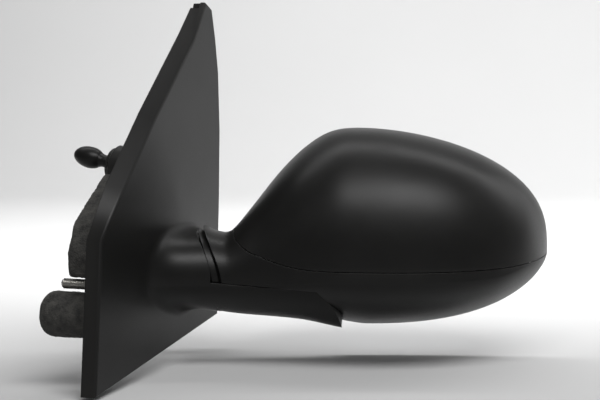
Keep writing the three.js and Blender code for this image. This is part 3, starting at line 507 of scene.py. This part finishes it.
def plastic(name, level, roughness, grain_mm, grain_depth, warm=0.03, rolled=0.0):
    """Moulded black plastic: fine spark grain, cloudy gloss, and a painted highlight that makes its edges a little
    paler.
    """
    m = Nodes(name)
    m.set(IOR=1.48, Specular_IOR_Level=0.22)
    cloud = m.noise(38, 4)
    edge = m.node("ShaderNodeNewGeometry").outputs["Pointiness"]
    # painted highlight: convex edges (high pointiness) are mixed towards a paler grey
    painted_edge_highlight = m.ramp(edge, 0, 1, 0.53, 0.62)
    base = m.mix_colour(m.ramp(cloud, 0, 1), grey(level * 0.88, warm), grey(level * 1.12, warm))
    m.drive("Base Color", m.mix_colour(painted_edge_highlight, base, grey(level * 1.9, warm)))
    fine = m.noise(grain_mm, 2)
    spread = m.node("ShaderNodeMath", {0: m.ramp(cloud, -0.035, 0.035), 1: m.ramp(fine, -0.05, 0.05)},
                    operation="ADD").outputs[0]
    total = m.node("ShaderNodeMath", {0: spread, 1: roughness}, operation="ADD").outputs[0]
    m.drive("Roughness", total)
    under = None
    if rolled:
        under = m.node("ShaderNodeBevel", {"Radius": rolled * MM}, samples=6).outputs["Normal"]
    coarse = m.bump(m.noise(grain_mm * 6, 2), grain_depth * 1.5, 0.5, under)
    m.drive("Normal", m.bump(fine, grain_depth, 0.8, coarse))
    return m.material


def metal(name, level, roughness, grain_mm, grain_depth, warm=0.0):
    """Bare or plated metal with cloudy stains and a fine grain."""
    m = Nodes(name)
    m.set(Metallic=1.0)
    cloud = m.noise(9, 5)
    m.drive("Base Color", m.mix_colour(m.ramp(cloud, 0, 1), grey(level * 0.75, warm), grey(level, warm)))
    fine = m.noise(grain_mm, 3)
    m.drive("Roughness", m.ramp(fine, roughness - 0.08, roughness + 0.1))
    m.drive("Normal", m.bump(fine, grain_depth, 0.7))
    return m.material


def foam_material():
    """Dark open-cell foam, blotched where its skin is worn."""
    m = Nodes("foam_skin")
    m.set(IOR=1.4)
    cells = m.node("ShaderNodeTexVoronoi", {"Vector": m.coordinates, "Scale": 1 / (1.1 * MM)})
    blotch = m.noise(5, 5, 0.65)
    m.drive("Base Color", m.mix_colour(m.ramp(blotch, 0, 1, 0.35, 0.65),
                                       grey(0.012, 0.04), grey(0.055, 0.06)))
    m.drive("Roughness", m.ramp(blotch, 0.6, 0.95))
    m.drive("Normal", m.bump(cells.outputs["Distance"], 0.35, 0.8, m.bump(blotch, 1.2, 0.6)))
    return m.material


def mirror_material():
    """Silvered glass under a faint film."""
    m = Nodes("silvered_glass")
    m.set(Metallic=1.0, Coat_Weight=0.3, Coat_Roughness=0.02)
    film = m.noise(45, 3)
    m.drive("Base Color", m.mix_colour(m.ramp(film, 0, 1), (0.80, 0.84, 0.86, 1), (0.86, 0.89, 0.9, 1)))
    m.drive("Roughness", m.ramp(film, 0.02, 0.05))
    return m.material


FINISHES = {
    "grained_black": plastic("satin_black_plastic", 0.0075, 0.38, 0.55, 0.014, rolled=0.5),
    "plain_black": plastic("plain_black_plastic", 0.014, 0.5, 0.9, 0.015),
    "foam": foam_material(),
    "cast_metal": metal("cast_alloy", 0.5, 0.5, 0.6, 0.05),
    "zinc_steel": metal("zinc_plate", 0.6, 0.33, 0.5, 0.01, 0.04),
    "bare_steel": metal("spring_steel", 0.42, 0.3, 0.4, 0.008),
    "natural_acetal": plastic("natural_acetal", 0.6, 0.42, 1.5, 0.01, 0.05),
    "mirror_glass": mirror_material(),
}
SLOT_OF = {entry["node"]: entry["material_slot"] for entry in frame["record"]["subparts"]}
BODY_OF = {node: body for body, nodes in frame["record"]["behaviour"]["bodies"].items()
           for node in nodes}


def finished(obj, name, nodes, edge_mm=0.0, sharp=40):
    """Brings a piece to metres, rounds its edges, and gives it its nodes' body and finish."""
    obj.name = name
    obj.data.name = name
    moved(obj, Matrix.Scale(MM, 4))
    if edge_mm:
        weld(obj, WELD * MM)
        rounding = obj.modifiers.new("edges", "BEVEL")
        rounding.limit_method = "ANGLE"
        rounding.angle_limit = math.radians(32)
        rounding.width = edge_mm * MM
        rounding.segments = 2
        rounding.miter_outer = "MITER_ARC"
        applied(obj)
    obj.data.shade_smooth()
    obj.data.set_sharp_from_angle(angle=math.radians(sharp))
    weights = obj.modifiers.new("weights", "WEIGHTED_NORMAL")
    weights.keep_sharp = True
    slot = SLOT_OF[nodes[0]]
    obj.data.materials.clear()
    obj.data.materials.append(FINISHES[slot])
    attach(obj, BODY_OF[nodes[0]])
    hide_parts(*nodes)
    return obj


# ------------------------------------------------------------------ head shells

SEAM = [(43.2, -12), (43.6, -17.3), (45.2, -22.6), (52.7, -28.5), (60.4, -31.6), (72.8, -35.7),
        (85, -38), (103, -39), (157, -39), (200, -38.5), (214, -37.9), (229, -36.5), (246, -34)]


def smooth_outline(points, steps):
    """A smooth run that passes through every outline point."""
    out = []
    for i in range(len(points) - 1):
        p0 = points[max(i - 1, 0)]
        p1, p2 = points[i], points[i + 1]
        p3 = points[min(i + 2, len(points) - 1)]
        for k in range(steps):
            t = k / steps
            out.append(tuple(0.5 * (2 * b + (c - a) * t + (2 * a - 5 * b + 4 * c - d) * t * t
                                    + (3 * b - a - 3 * c + d) * t ** 3)
                             for a, b, c, d in zip(p0, p1, p2, p3)))
    out.append(points[-1])
    return out


def cap_region(offset):
    """Everything above the seam and ahead of the rear rim."""
    edge = [(x - (offset if i < 3 else 0), z - (0 if i < 3 else offset))
            for i, (x, z) in enumerate(SEAM)]
    outline = smooth_outline(edge, 6) + [(246, 80), (43.2 - offset, 80)]
    return prism("cap_region", outline, "Y", -FAR / 4, RIM_Y - RIM_DEPTH + offset)


OPENING_TOP = 62
OPENING_FOOT = 132


def opening_outline(inset):
    """The glass opening: the head's outline moved inwards, closed by a straight edge by the arm."""
    edge = []
    for i in range(61):
        x = OPENING_TOP + (TIP_X - 0.2 - OPENING_TOP) * math.sin(math.pi / 2 * i / 60)
        edge.append((x, head_top(x)))
    for i in range(44, -1, -1):
        x = OPENING_FOOT + (TIP_X - 0.6 - OPENING_FOOT) * math.sin(math.pi / 2 * i / 48)
        edge.append((x, head_bottom(x)))
    outline = []
    for i, (x, z) in enumerate(edge):
        xa, za = edge[max(i - 1, 0)]
        xb, zb = edge[min(i + 1, len(edge) - 1)]
        length = math.hypot(xb - xa, zb - za)
        outline.append((x + inset * (zb - za) / length, z - inset * (xb - xa) / length))
    first, last = outline[0], outline[-1]
    corner = (60 + inset, -21 + 0.1 * inset)

    def bend(a, b, c, steps=10):
        return [tuple((1 - t) ** 2 * p + 2 * t * (1 - t) * q + t * t * r for p, q, r in zip(a, b, c))
                for t in (k / steps for k in range(1, steps + 1))]
    start = (last[0] - 1, last[1] + 0.2)
    outline += [start] + bend(start, (115 + inset, last[1] + 1), (114.5 + inset, -67 + 0.5 * inset))
    elbow = (113 + inset, -57 + 0.5 * inset)
    outline += [elbow] + bend(elbow, (110 + inset, -48.5 + inset), (98 + 0.6 * inset, -45.5 + inset))
    near = (corner[0] + 14, corner[1] - 9)
    side = (corner[0], corner[1] + 9)
    outline += [near] + bend(near, corner, side)
    outline += bend(side, (first[0] - 3, first[1] - 6), first)[:-1]
    return outline


HEAD_BOSSES = [(125, -59), (186, -50)]
FLOOR_BOSS = -29
BOSS_RADIUS = 4.2
BOSS_BORE = 1.6
PLATE_Y = (2, 6)


def head_shell():
    shell = head_body(0, TIP_X - 0.05, 144, 40, 110)
    cavity = head_body(WALL, TIP_X - 3, 64, 14, 40)
    cut(cavity, beyond_neck(-WALL), arm_sweep(WALL, FIT + WALL))
    hole = moved(rod(16.8, -2, 6, 72), FOLD_TO_HEAD)
    opening = prism("opening", opening_outline(RIM_LIP), "Y", 18, 60)
    cut(shell, cavity, opening, beyond_neck(0))
    collar = cut(head_body(COLLAR_INSET, NECK_STOP, 96, 24, 1), beyond_neck(COLLAR))
    join(shell, common(collar, beyond_neck(-WALL)))
    return cut(shell, arm_sweep(0, FIT + 0.1), hole)


def make_head():
    shell = head_shell()
    cap = common(copy_of(shell), cap_region(-SEAM_GAP))
    housing = cut(shell, cap_region(SEAM_GAP))
    inside = head_body(WALL / 2, TIP_X - 3, 48, 10, 24)
    bosses = [rod_y(BOSS_RADIUS, -60, PLATE_Y[0] - FIT, x, z) for x, z in HEAD_BOSSES]
    for boss, (x, z) in zip(bosses, HEAD_BOSSES):
        common(boss, copy_of(inside))
        cut(boss, rod_y(BOSS_BORE, PLATE_Y[0] - 14, 10, x, z))
    bpy.data.objects.remove(inside)
    floor_boss = cut(rod(BOSS_RADIUS, FIT + 1, 6.4), rod(BOSS_BORE, FIT + 1.4, 10))
    join(housing, *bosses, moved(floor_boss, FOLD_TO_HEAD @ Matrix.Translation((FLOOR_BOSS, 0, 0))))
    for obj in (housing, cap):
        moved(obj, HEAD_TO_ROW)
    finished(housing, "head_shell", ["head_housing"])
    finished(cap, "cap_skin", ["upper_cap"])


# ------------------------------------------------------------------ sail and arm

SAIL = [(-108, -100), (61, -80), (62, -50), (65, 0), (66.5, 40), (64.5, 78), (60, 100),
        (54.5, 118.5), (45, 122.5), (27, 99), (-30, 51), (-72, 12), (-99, -14)]
PILLAR_EDGE = (9, 10, 11)
COVER_SCREWS = [(-78, -82), (46, 34), (18, 80)]
HATCH_SCREWS = [(-22, 12), (-39, 12)]
HATCH_REACH = 22.0
HATCH_HALF = 16.0
HATCH_Y = 4.0
HATCH_SEAT = -19.2


def inset_outline(points, distance_at):
    """A closed outline whose corners have moved inwards."""
    moved_points = []
    for i, (y, z) in enumerate(points):
        before = (Vector((y, z)) - Vector(points[i - 1])).normalized()
        after = (Vector(points[(i + 1) % len(points)]) - Vector((y, z))).normalized()
        inward = Vector((-before.y - after.y, before.x + after.x)).normalized()
        reach = distance_at(i) / max(inward.dot(Vector((-after.y, after.x))), 0.5)
        moved_points.append((y + inward.x * reach, z + inward.y * reach))
    return moved_points


def sail_ring(x, inset, flare):
    """One outline of the sail; flare is how much of the pillar edge's bevel has opened."""
    outline = inset_outline(SAIL, lambda i: inset - (BEVEL * flare if i in PILLAR_EDGE else 0))
    return [Vector((x, y, z)) for y, z in outline]


def sail_slab(inset, back, face, rounding=0.0):
    if not rounding:
        return loft("sail_slab", [sail_ring(back, inset, 1), sail_ring(face, inset, 0)])
    steps = 6
    rings = [sail_ring(back, inset, 1)]
    for k in range(steps + 1):
        turn = math.pi / 2 * k / steps
        rings.append(sail_ring(face - rounding * (1 - math.sin(turn)),
                               inset + rounding * (1 - math.cos(turn)), 0.12 * (1 - math.sin(turn))))
    return loft("sail_slab", rings)


def arm_skin():
    """(outer, inner) solids of the foot and arm, in the row's frame."""
    solids = []
    for wall, body in ((0, foot_body(0, SAIL_FACE - WALL / 2, 0, 128, 44, 16)),
                       (WALL, foot_body(WALL, SAIL_FACE - 2 * WALL, 9, 48, 12, 6))):
        above = moved(rod(FAR, -wall, FAR / 2, 24), FOLD_TO_ROW)
        beyond = moved(block(FOLD_POINT.x - 48 - wall, FAR, -FAR / 2, FAR / 2, -FAR / 2, FAR / 2),
                       HEAD_TO_ROW)
        common(above, beyond)
        cone = moved(groove_cone(GROOVE_WIDTH + wall, -wall, 120), FOLD_TO_ROW)
        door_side = moved(block(-FAR, FOLD_POINT.x, -FAR, FAR, -FAR, FAR), HEAD_TO_ROW)
        join(door_side, moved(rod(ARM_RADIUS - wall, -80, 80, 128), FOLD_TO_ROW))
        cut(body, cone, above)
        solids.append(common(body, door_side))
    return solids


def arm_hatch(margin):
    """The opening under the arm, round at its outer end."""
    reach = FOLD_POINT.x + HATCH_REACH + margin
    half = HATCH_HALF + margin
    outline = [(34 - margin, HATCH_Y - half)]
    for k in range(33):
        turn = -math.pi / 2 + math.pi * k / 32
        outline.append((reach - half + half * math.cos(turn), HATCH_Y + half * math.sin(turn)))
    outline.append((34 - margin, HATCH_Y + half))
    return moved(prism("hatch", outline, "Z", -FAR / 4, -60), HEAD_TO_ROW)


def make_sail():
    outer, inner = arm_skin()
    panel = common(cut(copy_of(outer), copy_of(inner)), arm_hatch(0))
    for x, y in HATCH_SCREWS:
        place = FOLD_TO_ROW @ Matrix.Translation((x, y, 0))
        cut(panel, moved(rod(2, -40, -10), place), moved(rod(3.8, -40, HATCH_SEAT), place))
    finished(panel, "arm_bottom_panel", ["arm_bottom_cover"])

    cover = sail_slab(0, SAIL_BACK, SAIL_FACE, 1.6)
    cut(cover, sail_slab(WALL, SAIL_BACK - 5, SAIL_FACE - WALL))
    join(cover, *[rod_x(4, 4 + FIT, SAIL_FACE - 1, y, z) for y, z in COVER_SCREWS])
    notch = prism("notch", [(30, 128), (44, 117), (49, 128)], "X", -5, SAIL_FACE - 4)
    cut(cover, notch, *[rod_x(2.1, 0, SAIL_FACE - WALL, y, z) for y, z in COVER_SCREWS])
    join(cover, outer)
    cut(cover, inner, arm_hatch(FIT), moved(rod(16.4, -6, 4, 72), FOLD_TO_ROW))
    finished(cover, "sail_skin", ["sail_cover"])


make_head()
make_sail()

# ------------------------------------------------------------------ foam


def foamed(obj, rounding, grain):
    """Rounds a block of foam and gives it a lumpy, cell-torn skin."""
    soft = obj.modifiers.new("soft", "BEVEL")
    soft.width = rounding
    soft.segments = 3
    soft.limit_method = "ANGLE"
    soft.angle_limit = math.radians(25)
    remesh = obj.modifiers.new("cells", "REMESH")
    remesh.mode = "VOXEL"
    remesh.voxel_size = 0.85
    applied(obj)
    for vertex in obj.data.vertices:
        lump = noise.noise(vertex.co / 6.0) + 0.6 * noise.noise(vertex.co / 2.1)
        vertex.co -= vertex.normal * grain * (0.8 + lump)
    return obj


GASKET = [(-84.5, -38.2), (-86, -24), (-77, -6), (-39.2, 19.5), (-39, -4), (-33, -20), (-33, -38.2)]
PLUG_AXIS = (-82, -59.2)
PLUG = [(END_FLAT, -34.5), (10, -34.5), (12.8, -32), (13.4, -28), (13.4, -12), (12, -FIT), (END_FLAT, -FIT)]


def make_foam():
    gasket = foamed(prism("gasket", GASKET, "X", -20, -FIT), 2.4, 0.35)
    finished(gasket, "foam_pad", ["foam_gasket"], sharp=180)
    plug = foamed(turned("plug", PLUG, 48, closed=False), 1.2, 0.35)
    moved(plug, Matrix.Translation((0, *PLUG_AXIS)) @ AXIS_X)
    finished(plug, "foam_bung", ["foam_plug"], sharp=180)


# ------------------------------------------------------------------ lever

STEM = 3.0
LEVER_SCREW = 18.6
WIRE_CIRCLE = 6.0
WIRE_ANGLES = [math.radians(degrees) for degrees in (90, 210, 330)]
PIN = 1.3
PIN_REACH = 10.2
KNOB_RADIUS = 6.8
KNOB_AT = -21.4


def arc_profile(radius, centre, low, high, steps=20):
    """Points of a sphere's section between two places on its axis."""
    points = []
    for k in range(steps + 1):
        z = low + (high - low) * k / steps
        points.append((math.sqrt(max(radius ** 2 - (z - centre) ** 2, 1e-4)), z))
    return points


def make_lever():
    ball = arc_profile(BALL_RADIUS, 0, -BALL_RADIUS * 0.92, BALL_RADIUS * 0.93)
    stem = [(END_FLAT, -18), (STEM, -18), (STEM, -8.4)] + ball[1:-1]
    stem += [(2.6, 8.4), (2.6, 9.6), (7.6, 9.6), (8, 10), (8, 11.6), (7.6, 12), (END_FLAT, 12)]
    stick = turned("stick", stem, 48, closed=False)
    holes = [rod(1.9, 9, 13, 20) for _ in WIRE_ANGLES]
    for hole, angle in zip(holes, WIRE_ANGLES):
        moved(hole, Matrix.Translation((-WIRE_CIRCLE * math.sin(angle), WIRE_CIRCLE * math.cos(angle), 0)))
    cut(stick, *holes, moved(rod(PIN + FIT, -20, 20), AXIS_Y))
    finished(moved(stick, LEVER_TO_ROW @ AXIS_X), "lever_rod", ["lever_stick"], 0.2)

    grip = []
    for k in range(40):
        turn = math.pi * (0.995 - 0.80 * k / 39)
        girth = KNOB_RADIUS + 0.5 * math.cos(turn)
        grip.append((girth * math.sin(turn) ** 0.95, KNOB_AT + 10 * math.cos(turn)))
    grip += [(4.25, -12.6), (3.95, -11.6), (3.85, -10.6), (3.85, -8.8), (3.6, -8.5), (STEM + FIT, -8.5),
             (STEM + FIT, -18.3), (END_FLAT, -18.3)]
    knob = turned("grip", [(END_FLAT, grip[0][1] - 0.02)] + grip, 64, closed=False)
    moved(knob, Matrix.Diagonal((6.8 / 7, 7.2 / 7, 1, 1)))
    finished(moved(knob, LEVER_TO_ROW @ AXIS_X), "lever_grip", ["lever_knob"], sharp=50)

    barrel = turned("barrel", [(END_FLAT, -5.8), (9, -5.8), (9.4, -5.4), (9.6, -3.6), (11.4, -2.6),
                               (11.8, -2.2), (11.8, 3.4), (12.6, 4.4), (14.6, 5), (15, 5.4), (15, 26),
                               (END_FLAT, 26)], 96, closed=False)
    housing = join(moved(barrel, LEVER_TO_ROW @ AXIS_X),
                   rod_x(22.5, -3.2, -FIT, LEVER_BALL.y, LEVER_BALL.z, 96))
    inside = turned("inside", [(END_FLAT, -9.5), (5.4, -9.5), (6.5, -5.8), (7.3, -4), (8.1, -2),
                               (BALL_RADIUS + FIT, 0), (8.1, 2), (6.2, 5.6), (6.2, 6.5), (12.4, 6.5),
                               (12.4, 40), (END_FLAT, 40)], 64, closed=False)
    slot = block(-3.9, 3.9, -PIN_REACH - 0.5, PIN_REACH + 0.5, -1.7, 1.7)
    cut(housing, moved(inside, LEVER_TO_ROW @ AXIS_X), moved(slot, LEVER_TO_ROW),
        block(-FIT, 60, -80, 60, -60, 90),
        *[rod_x(1.9, -10, 5, LEVER_BALL.y + side * LEVER_SCREW, LEVER_BALL.z) for side in (-1, 1)])
    finished(housing, "lever_socket", ["lever_housing"], 0.35)


# ------------------------------------------------------------------ fasteners and small turned pieces

STUDS = [(-80, -41.8), (46, -62), (34, 62)]
STUD_LENGTH = 25
STUD_RADIUS = 3.0
THREAD_ROOT = 2.55
THREAD_PITCH = 1.0
BRACKET = 4.0
LANDING = 0.8


def make_stud(number, y, z):
    profile = [(END_FLAT, -STUD_LENGTH), (2.3, -STUD_LENGTH)]
    at = -STUD_LENGTH + 0.5
    while at < 2:
        profile += [(THREAD_ROOT, at), (STUD_RADIUS, at + 0.4), (STUD_RADIUS, at + 0.55)]
        at += THREAD_PITCH
    profile += [(STUD_RADIUS, BRACKET + 1), (END_FLAT, BRACKET + 1)]
    stud = turned("stud", profile, 36, closed=False)
    head = rod(5.5, BRACKET + FIT, BRACKET + FIT + 2.4, 6)
    join(stud, head)
    moved(stud, Matrix.Translation((0, y, z)) @ AXIS_X)
    finished(stud, f"stud_{number}", [f"mounting_stud_{number}"], sharp=30)


def make_screw(name, node, place, radius, height, shank, length):
    """A pan-head screw, its head's top at z = 0 and its shank running up z."""
    dome = [(END_FLAT, 0)] + [(radius * math.sin(turn), 0.45 * height * (1 - math.cos(turn)))
                          for turn in (math.pi / 2 * k / 8 for k in range(1, 9))]
    profile = dome + [(radius, height), (shank, height), (shank, length - shank), (END_FLAT, length)]
    screw = turned("screw", profile, 40, closed=False)
    wide, deep = 0.13 * radius, 0.5 * height
    for turn in (0, math.pi / 2):
        bar = block(-0.55 * radius, 0.55 * radius, -wide, wide, -1, deep)
        cut(screw, moved(bar, Matrix.Rotation(turn + 0.4, 4, "Z")))
    finished(moved(screw, place), name, [node], sharp=30)


def make_screws():
    for i, (y, z) in enumerate(COVER_SCREWS):
        place = Matrix.Translation((LANDING + 0.1, y, z)) @ AXIS_X
        make_screw(f"panel_screw_{i + 1}", f"cover_screw_{i + 1}", place, 4.2, 2, 1.8, 6.2)
    for i, (x, y) in enumerate(HATCH_SCREWS):
        place = FOLD_TO_ROW @ Matrix.Translation((x, y, HATCH_SEAT - 1.5))
        make_screw(f"hatch_screw_{i + 1}", f"cover_screw_{i + 4}", place, 3.4, 1.4, 1.35, 12.2)
    for i, side in enumerate((-1, 1)):
        place = Matrix.Translation((-5.4, LEVER_BALL.y + side * LEVER_SCREW, LEVER_BALL.z)) @ AXIS_X
        make_screw(f"socket_screw_{i + 1}", f"lever_screw_{i + 1}", place, 3.2, 2.1, 1.6, 4.8)
    for i, (x, z) in enumerate(HEAD_BOSSES):
        seat = Matrix.Translation((x, PLATE_Y[1] + 2.3, z))
        place = HEAD_TO_ROW @ seat @ Matrix.Rotation(math.pi / 2, 4, "X")
        make_screw(f"plate_screw_{i + 1}", f"bracket_screw_{i + 1}", place, 3.4, 2.2, 1.35, 14.3)
    place = FOLD_TO_ROW @ Matrix.Translation((FLOOR_BOSS, 0, 14.2)) @ Matrix.Rotation(math.pi, 4, "X")
    make_screw("plate_screw_3", "bracket_screw_3", place, 3.4, 2.2, 1.35, 10.8)


SPRING_LOW, SPRING_HIGH = 12.1, 25.5


def make_fold_stack():
    seat = turned("seat", [(8.95, 25.9), (14.7, 25.9), (15, 26.2), (15, 26.9), (14.7, 27.2),
                           (8.95, 27.2)], 72)
    finished(moved(seat, FOLD_TO_ROW), "spring_washer", ["spring_seat"], 0.1)
    turns, radius, wire = 3.6, 12.3, 1.25
    low, high = SPRING_LOW + wire, SPRING_HIGH - wire
    rings = []
    steps, sides = 220, 16
    for i in range(steps + 1):
        turn = 2 * math.pi * turns * i / steps
        out = Vector((math.cos(turn), math.sin(turn), 0))
        centre = out * radius + Vector((0, 0, low + (high - low) * i / steps))
        rings.append([centre + wire * (math.cos(2 * math.pi * k / sides) * out
                                       + math.sin(2 * math.pi * k / sides) * Vector((0, 0, 1)))
                      for k in range(sides)])
    coil = loft("coil", rings)
    orient(coil)
    finished(moved(coil, FOLD_TO_ROW), "fold_coil", ["fold_spring"])


# ------------------------------------------------------------------ glass

CARRIER_Y = (27, 30.2)
GLASS_Y = (30.5, 32.5)
WIRE_REACH = 24.0


def make_glass():
    edge = 0.4
    back, face = GLASS_Y
    rings = [[(x, y, z) for x, z in opening_outline(GLASS_INSET + inset)]
             for y, inset in ((back, edge), (back + edge, 0), (face - edge, 0), (face, edge))]
    pane = loft("pane", rings)
    orient(pane)
    finished(moved(pane, HEAD_TO_ROW), "mirror_pane", ["mirror_glass"], sharp=20)
    px, py, pz = GLASS_PIVOT
    tray = prism("tray", opening_outline(GLASS_INSET - 1.6), "Y", CARRIER_Y[0], GLASS_Y[1] - 0.6)
    cut(tray, prism("recess", opening_outline(GLASS_INSET - 0.4), "Y", CARRIER_Y[1], 40))
    socket = rod_y(13, py - 3.5, CARRIER_Y[0] + 1, px, pz, 72)
    ball = turned("ball", arc_profile(BALL_RADIUS + FIT, 0, -8.3, 8.3), 64, closed=False)
    cross = rod_x(PIN + FIT, px - 12.5, px + 12.5, py, pz)
    join(tray, socket)
    moved(ball, Matrix.Translation((px, py, pz)) @ AXIS_Y)
    cut(tray, ball, rod_y(7.9, 0, py, px, pz, 64), cross)
    for angle in WIRE_ANGLES:
        x, z = px + WIRE_REACH * math.cos(angle), pz + WIRE_REACH * math.sin(angle)
        arm = rod_y(4, CARRIER_Y[0] - 4.5, CARRIER_Y[0] + 1, x, z)
        join(tray, cut(arm, rod_y(1.9, 0, CARRIER_Y[0] - 1.5, x, z)))
    finished(moved(tray, HEAD_TO_ROW), "glass_tray", ["glass_carrier"], 0.3)


make_foam()
make_lever()
for index, (stud_y, stud_z) in enumerate(STUDS):
    make_stud(index + 1, stud_y, stud_z)
make_screws()
make_fold_stack()
make_glass()

# ------------------------------------------------------------------ carried-over nodes

REPLACED = {"head_housing", "upper_cap", "sail_cover", "arm_bottom_cover", "foam_gasket", "foam_plug",
            "lever_stick", "lever_knob", "lever_housing", "spring_seat", "fold_spring", "mirror_glass",
            "glass_carrier"}
REPLACED |= {f"{kind}_{i}" for kind in ("mounting_stud", "bracket_screw") for i in (1, 2, 3)}
REPLACED |= {f"cover_screw_{i}" for i in (1, 2, 3, 4, 5)} | {"lever_screw_1", "lever_screw_2"}
EDGES = {"base_bracket": 0.35, "head_bracket": 0.35, "cable_stop_base": 0.2, "cable_stop_head": 0.2,
         "pivot_tube": 0.15, "detent_ring_lower": 0.2, "detent_ring_upper": 0.2, "spring_clip": 0.15}


def carry_over(node, obj):
    obj.data.shade_smooth()
    obj.data.set_sharp_from_angle(angle=math.radians(35))
    if node in EDGES:
        rounding = obj.modifiers.new("edges", "BEVEL")
        rounding.limit_method = "ANGLE"
        rounding.angle_limit = math.radians(40)
        rounding.width = EDGES[node] * MM
        rounding.segments = 2
    obj.data.materials.clear()
    obj.data.materials.append(FINISHES[SLOT_OF[node]])


for cad_node, cad_object in frame["nodes"].items():
    if cad_node not in REPLACED:
        carry_over(cad_node, cad_object)

# ------------------------------------------------------------------ studio


FLOOR_FRONT, FLOOR_BACK = -3.0, 1.2
FLOOR_BEND = 0.9
FLOOR_TOP = 3.5
FLOOR_HALF = 4.0


def make_stage():
    """A floor that bends up into a backdrop behind the object."""
    low = CAD_BOX[0][2]
    floor_material = Nodes("pale_floor")
    floor_material.set(Roughness=0.9)
    tone = floor_material.noise(400, 2)
    floor_material.drive("Base Color", floor_material.mix_colour(tone, grey(0.5), grey(0.53)))
    outline = [(FLOOR_FRONT, 0.0), (FLOOR_BACK, 0.0)]
    for k in range(1, 25):
        turn = math.pi / 2 * k / 24
        outline.append((FLOOR_BACK + FLOOR_BEND * math.sin(turn), FLOOR_BEND * (1 - math.cos(turn))))
    outline.append((FLOOR_BACK + FLOOR_BEND, FLOOR_TOP))
    vertices = [(side * FLOOR_HALF, y, z) for y, z in outline for side in (-1, 1)]
    faces = [(2 * i, 2 * i + 1, 2 * i + 3, 2 * i + 2) for i in range(len(outline) - 1)]
    floor = new_object("floor", vertices, faces)
    floor.data.shade_smooth()
    floor.data.materials.append(floor_material.material)
    floor.matrix_world = Matrix.Translation((0, 0, low - 0.002)) @ Matrix.Rotation(SWEEP, 4, "Z")


def softbox(name, azimuth, height, distance, size, power, aim=(0.12, 0.03, -0.01)):
    """A soft light this far round from the head's tip, in degrees, and this high over its aim."""
    lamp = bpy.data.lights.new(name, "AREA")
    lamp.shape = "RECTANGLE"
    lamp.size, lamp.size_y = size
    lamp.energy = power
    obj = bpy.data.objects.new(name, lamp)
    bpy.context.scene.collection.objects.link(obj)
    turn = SWEEP + math.radians(azimuth)
    target = Vector(aim)
    place = target + Vector((distance * math.cos(turn), distance * math.sin(turn), height))
    obj.location = place
    obj.rotation_euler = (place - target).to_track_quat("Z", "Y").to_euler()


def make_light():
    world = bpy.data.worlds.new("studio")
    world.use_nodes = True
    sky = world.node_tree.nodes["Background"]
    sky.inputs["Color"].default_value = (0.97, 0.98, 1, 1)
    sky.inputs["Strength"].default_value = 0.12
    bpy.context.scene.world = world
    bpy.context.scene.view_settings.view_transform = "Standard"
    softbox("key", -78, 1.0, 0.75, (1.1, 0.45), 15)
    softbox("rim", 28, 0.35, 1.1, (0.5, 0.9), 2.2)
    softbox("back", -90, 0.9, 1.5, (2.6, 0.7), 52, (0.1, 2.0, -0.1))


make_stage()
make_light()
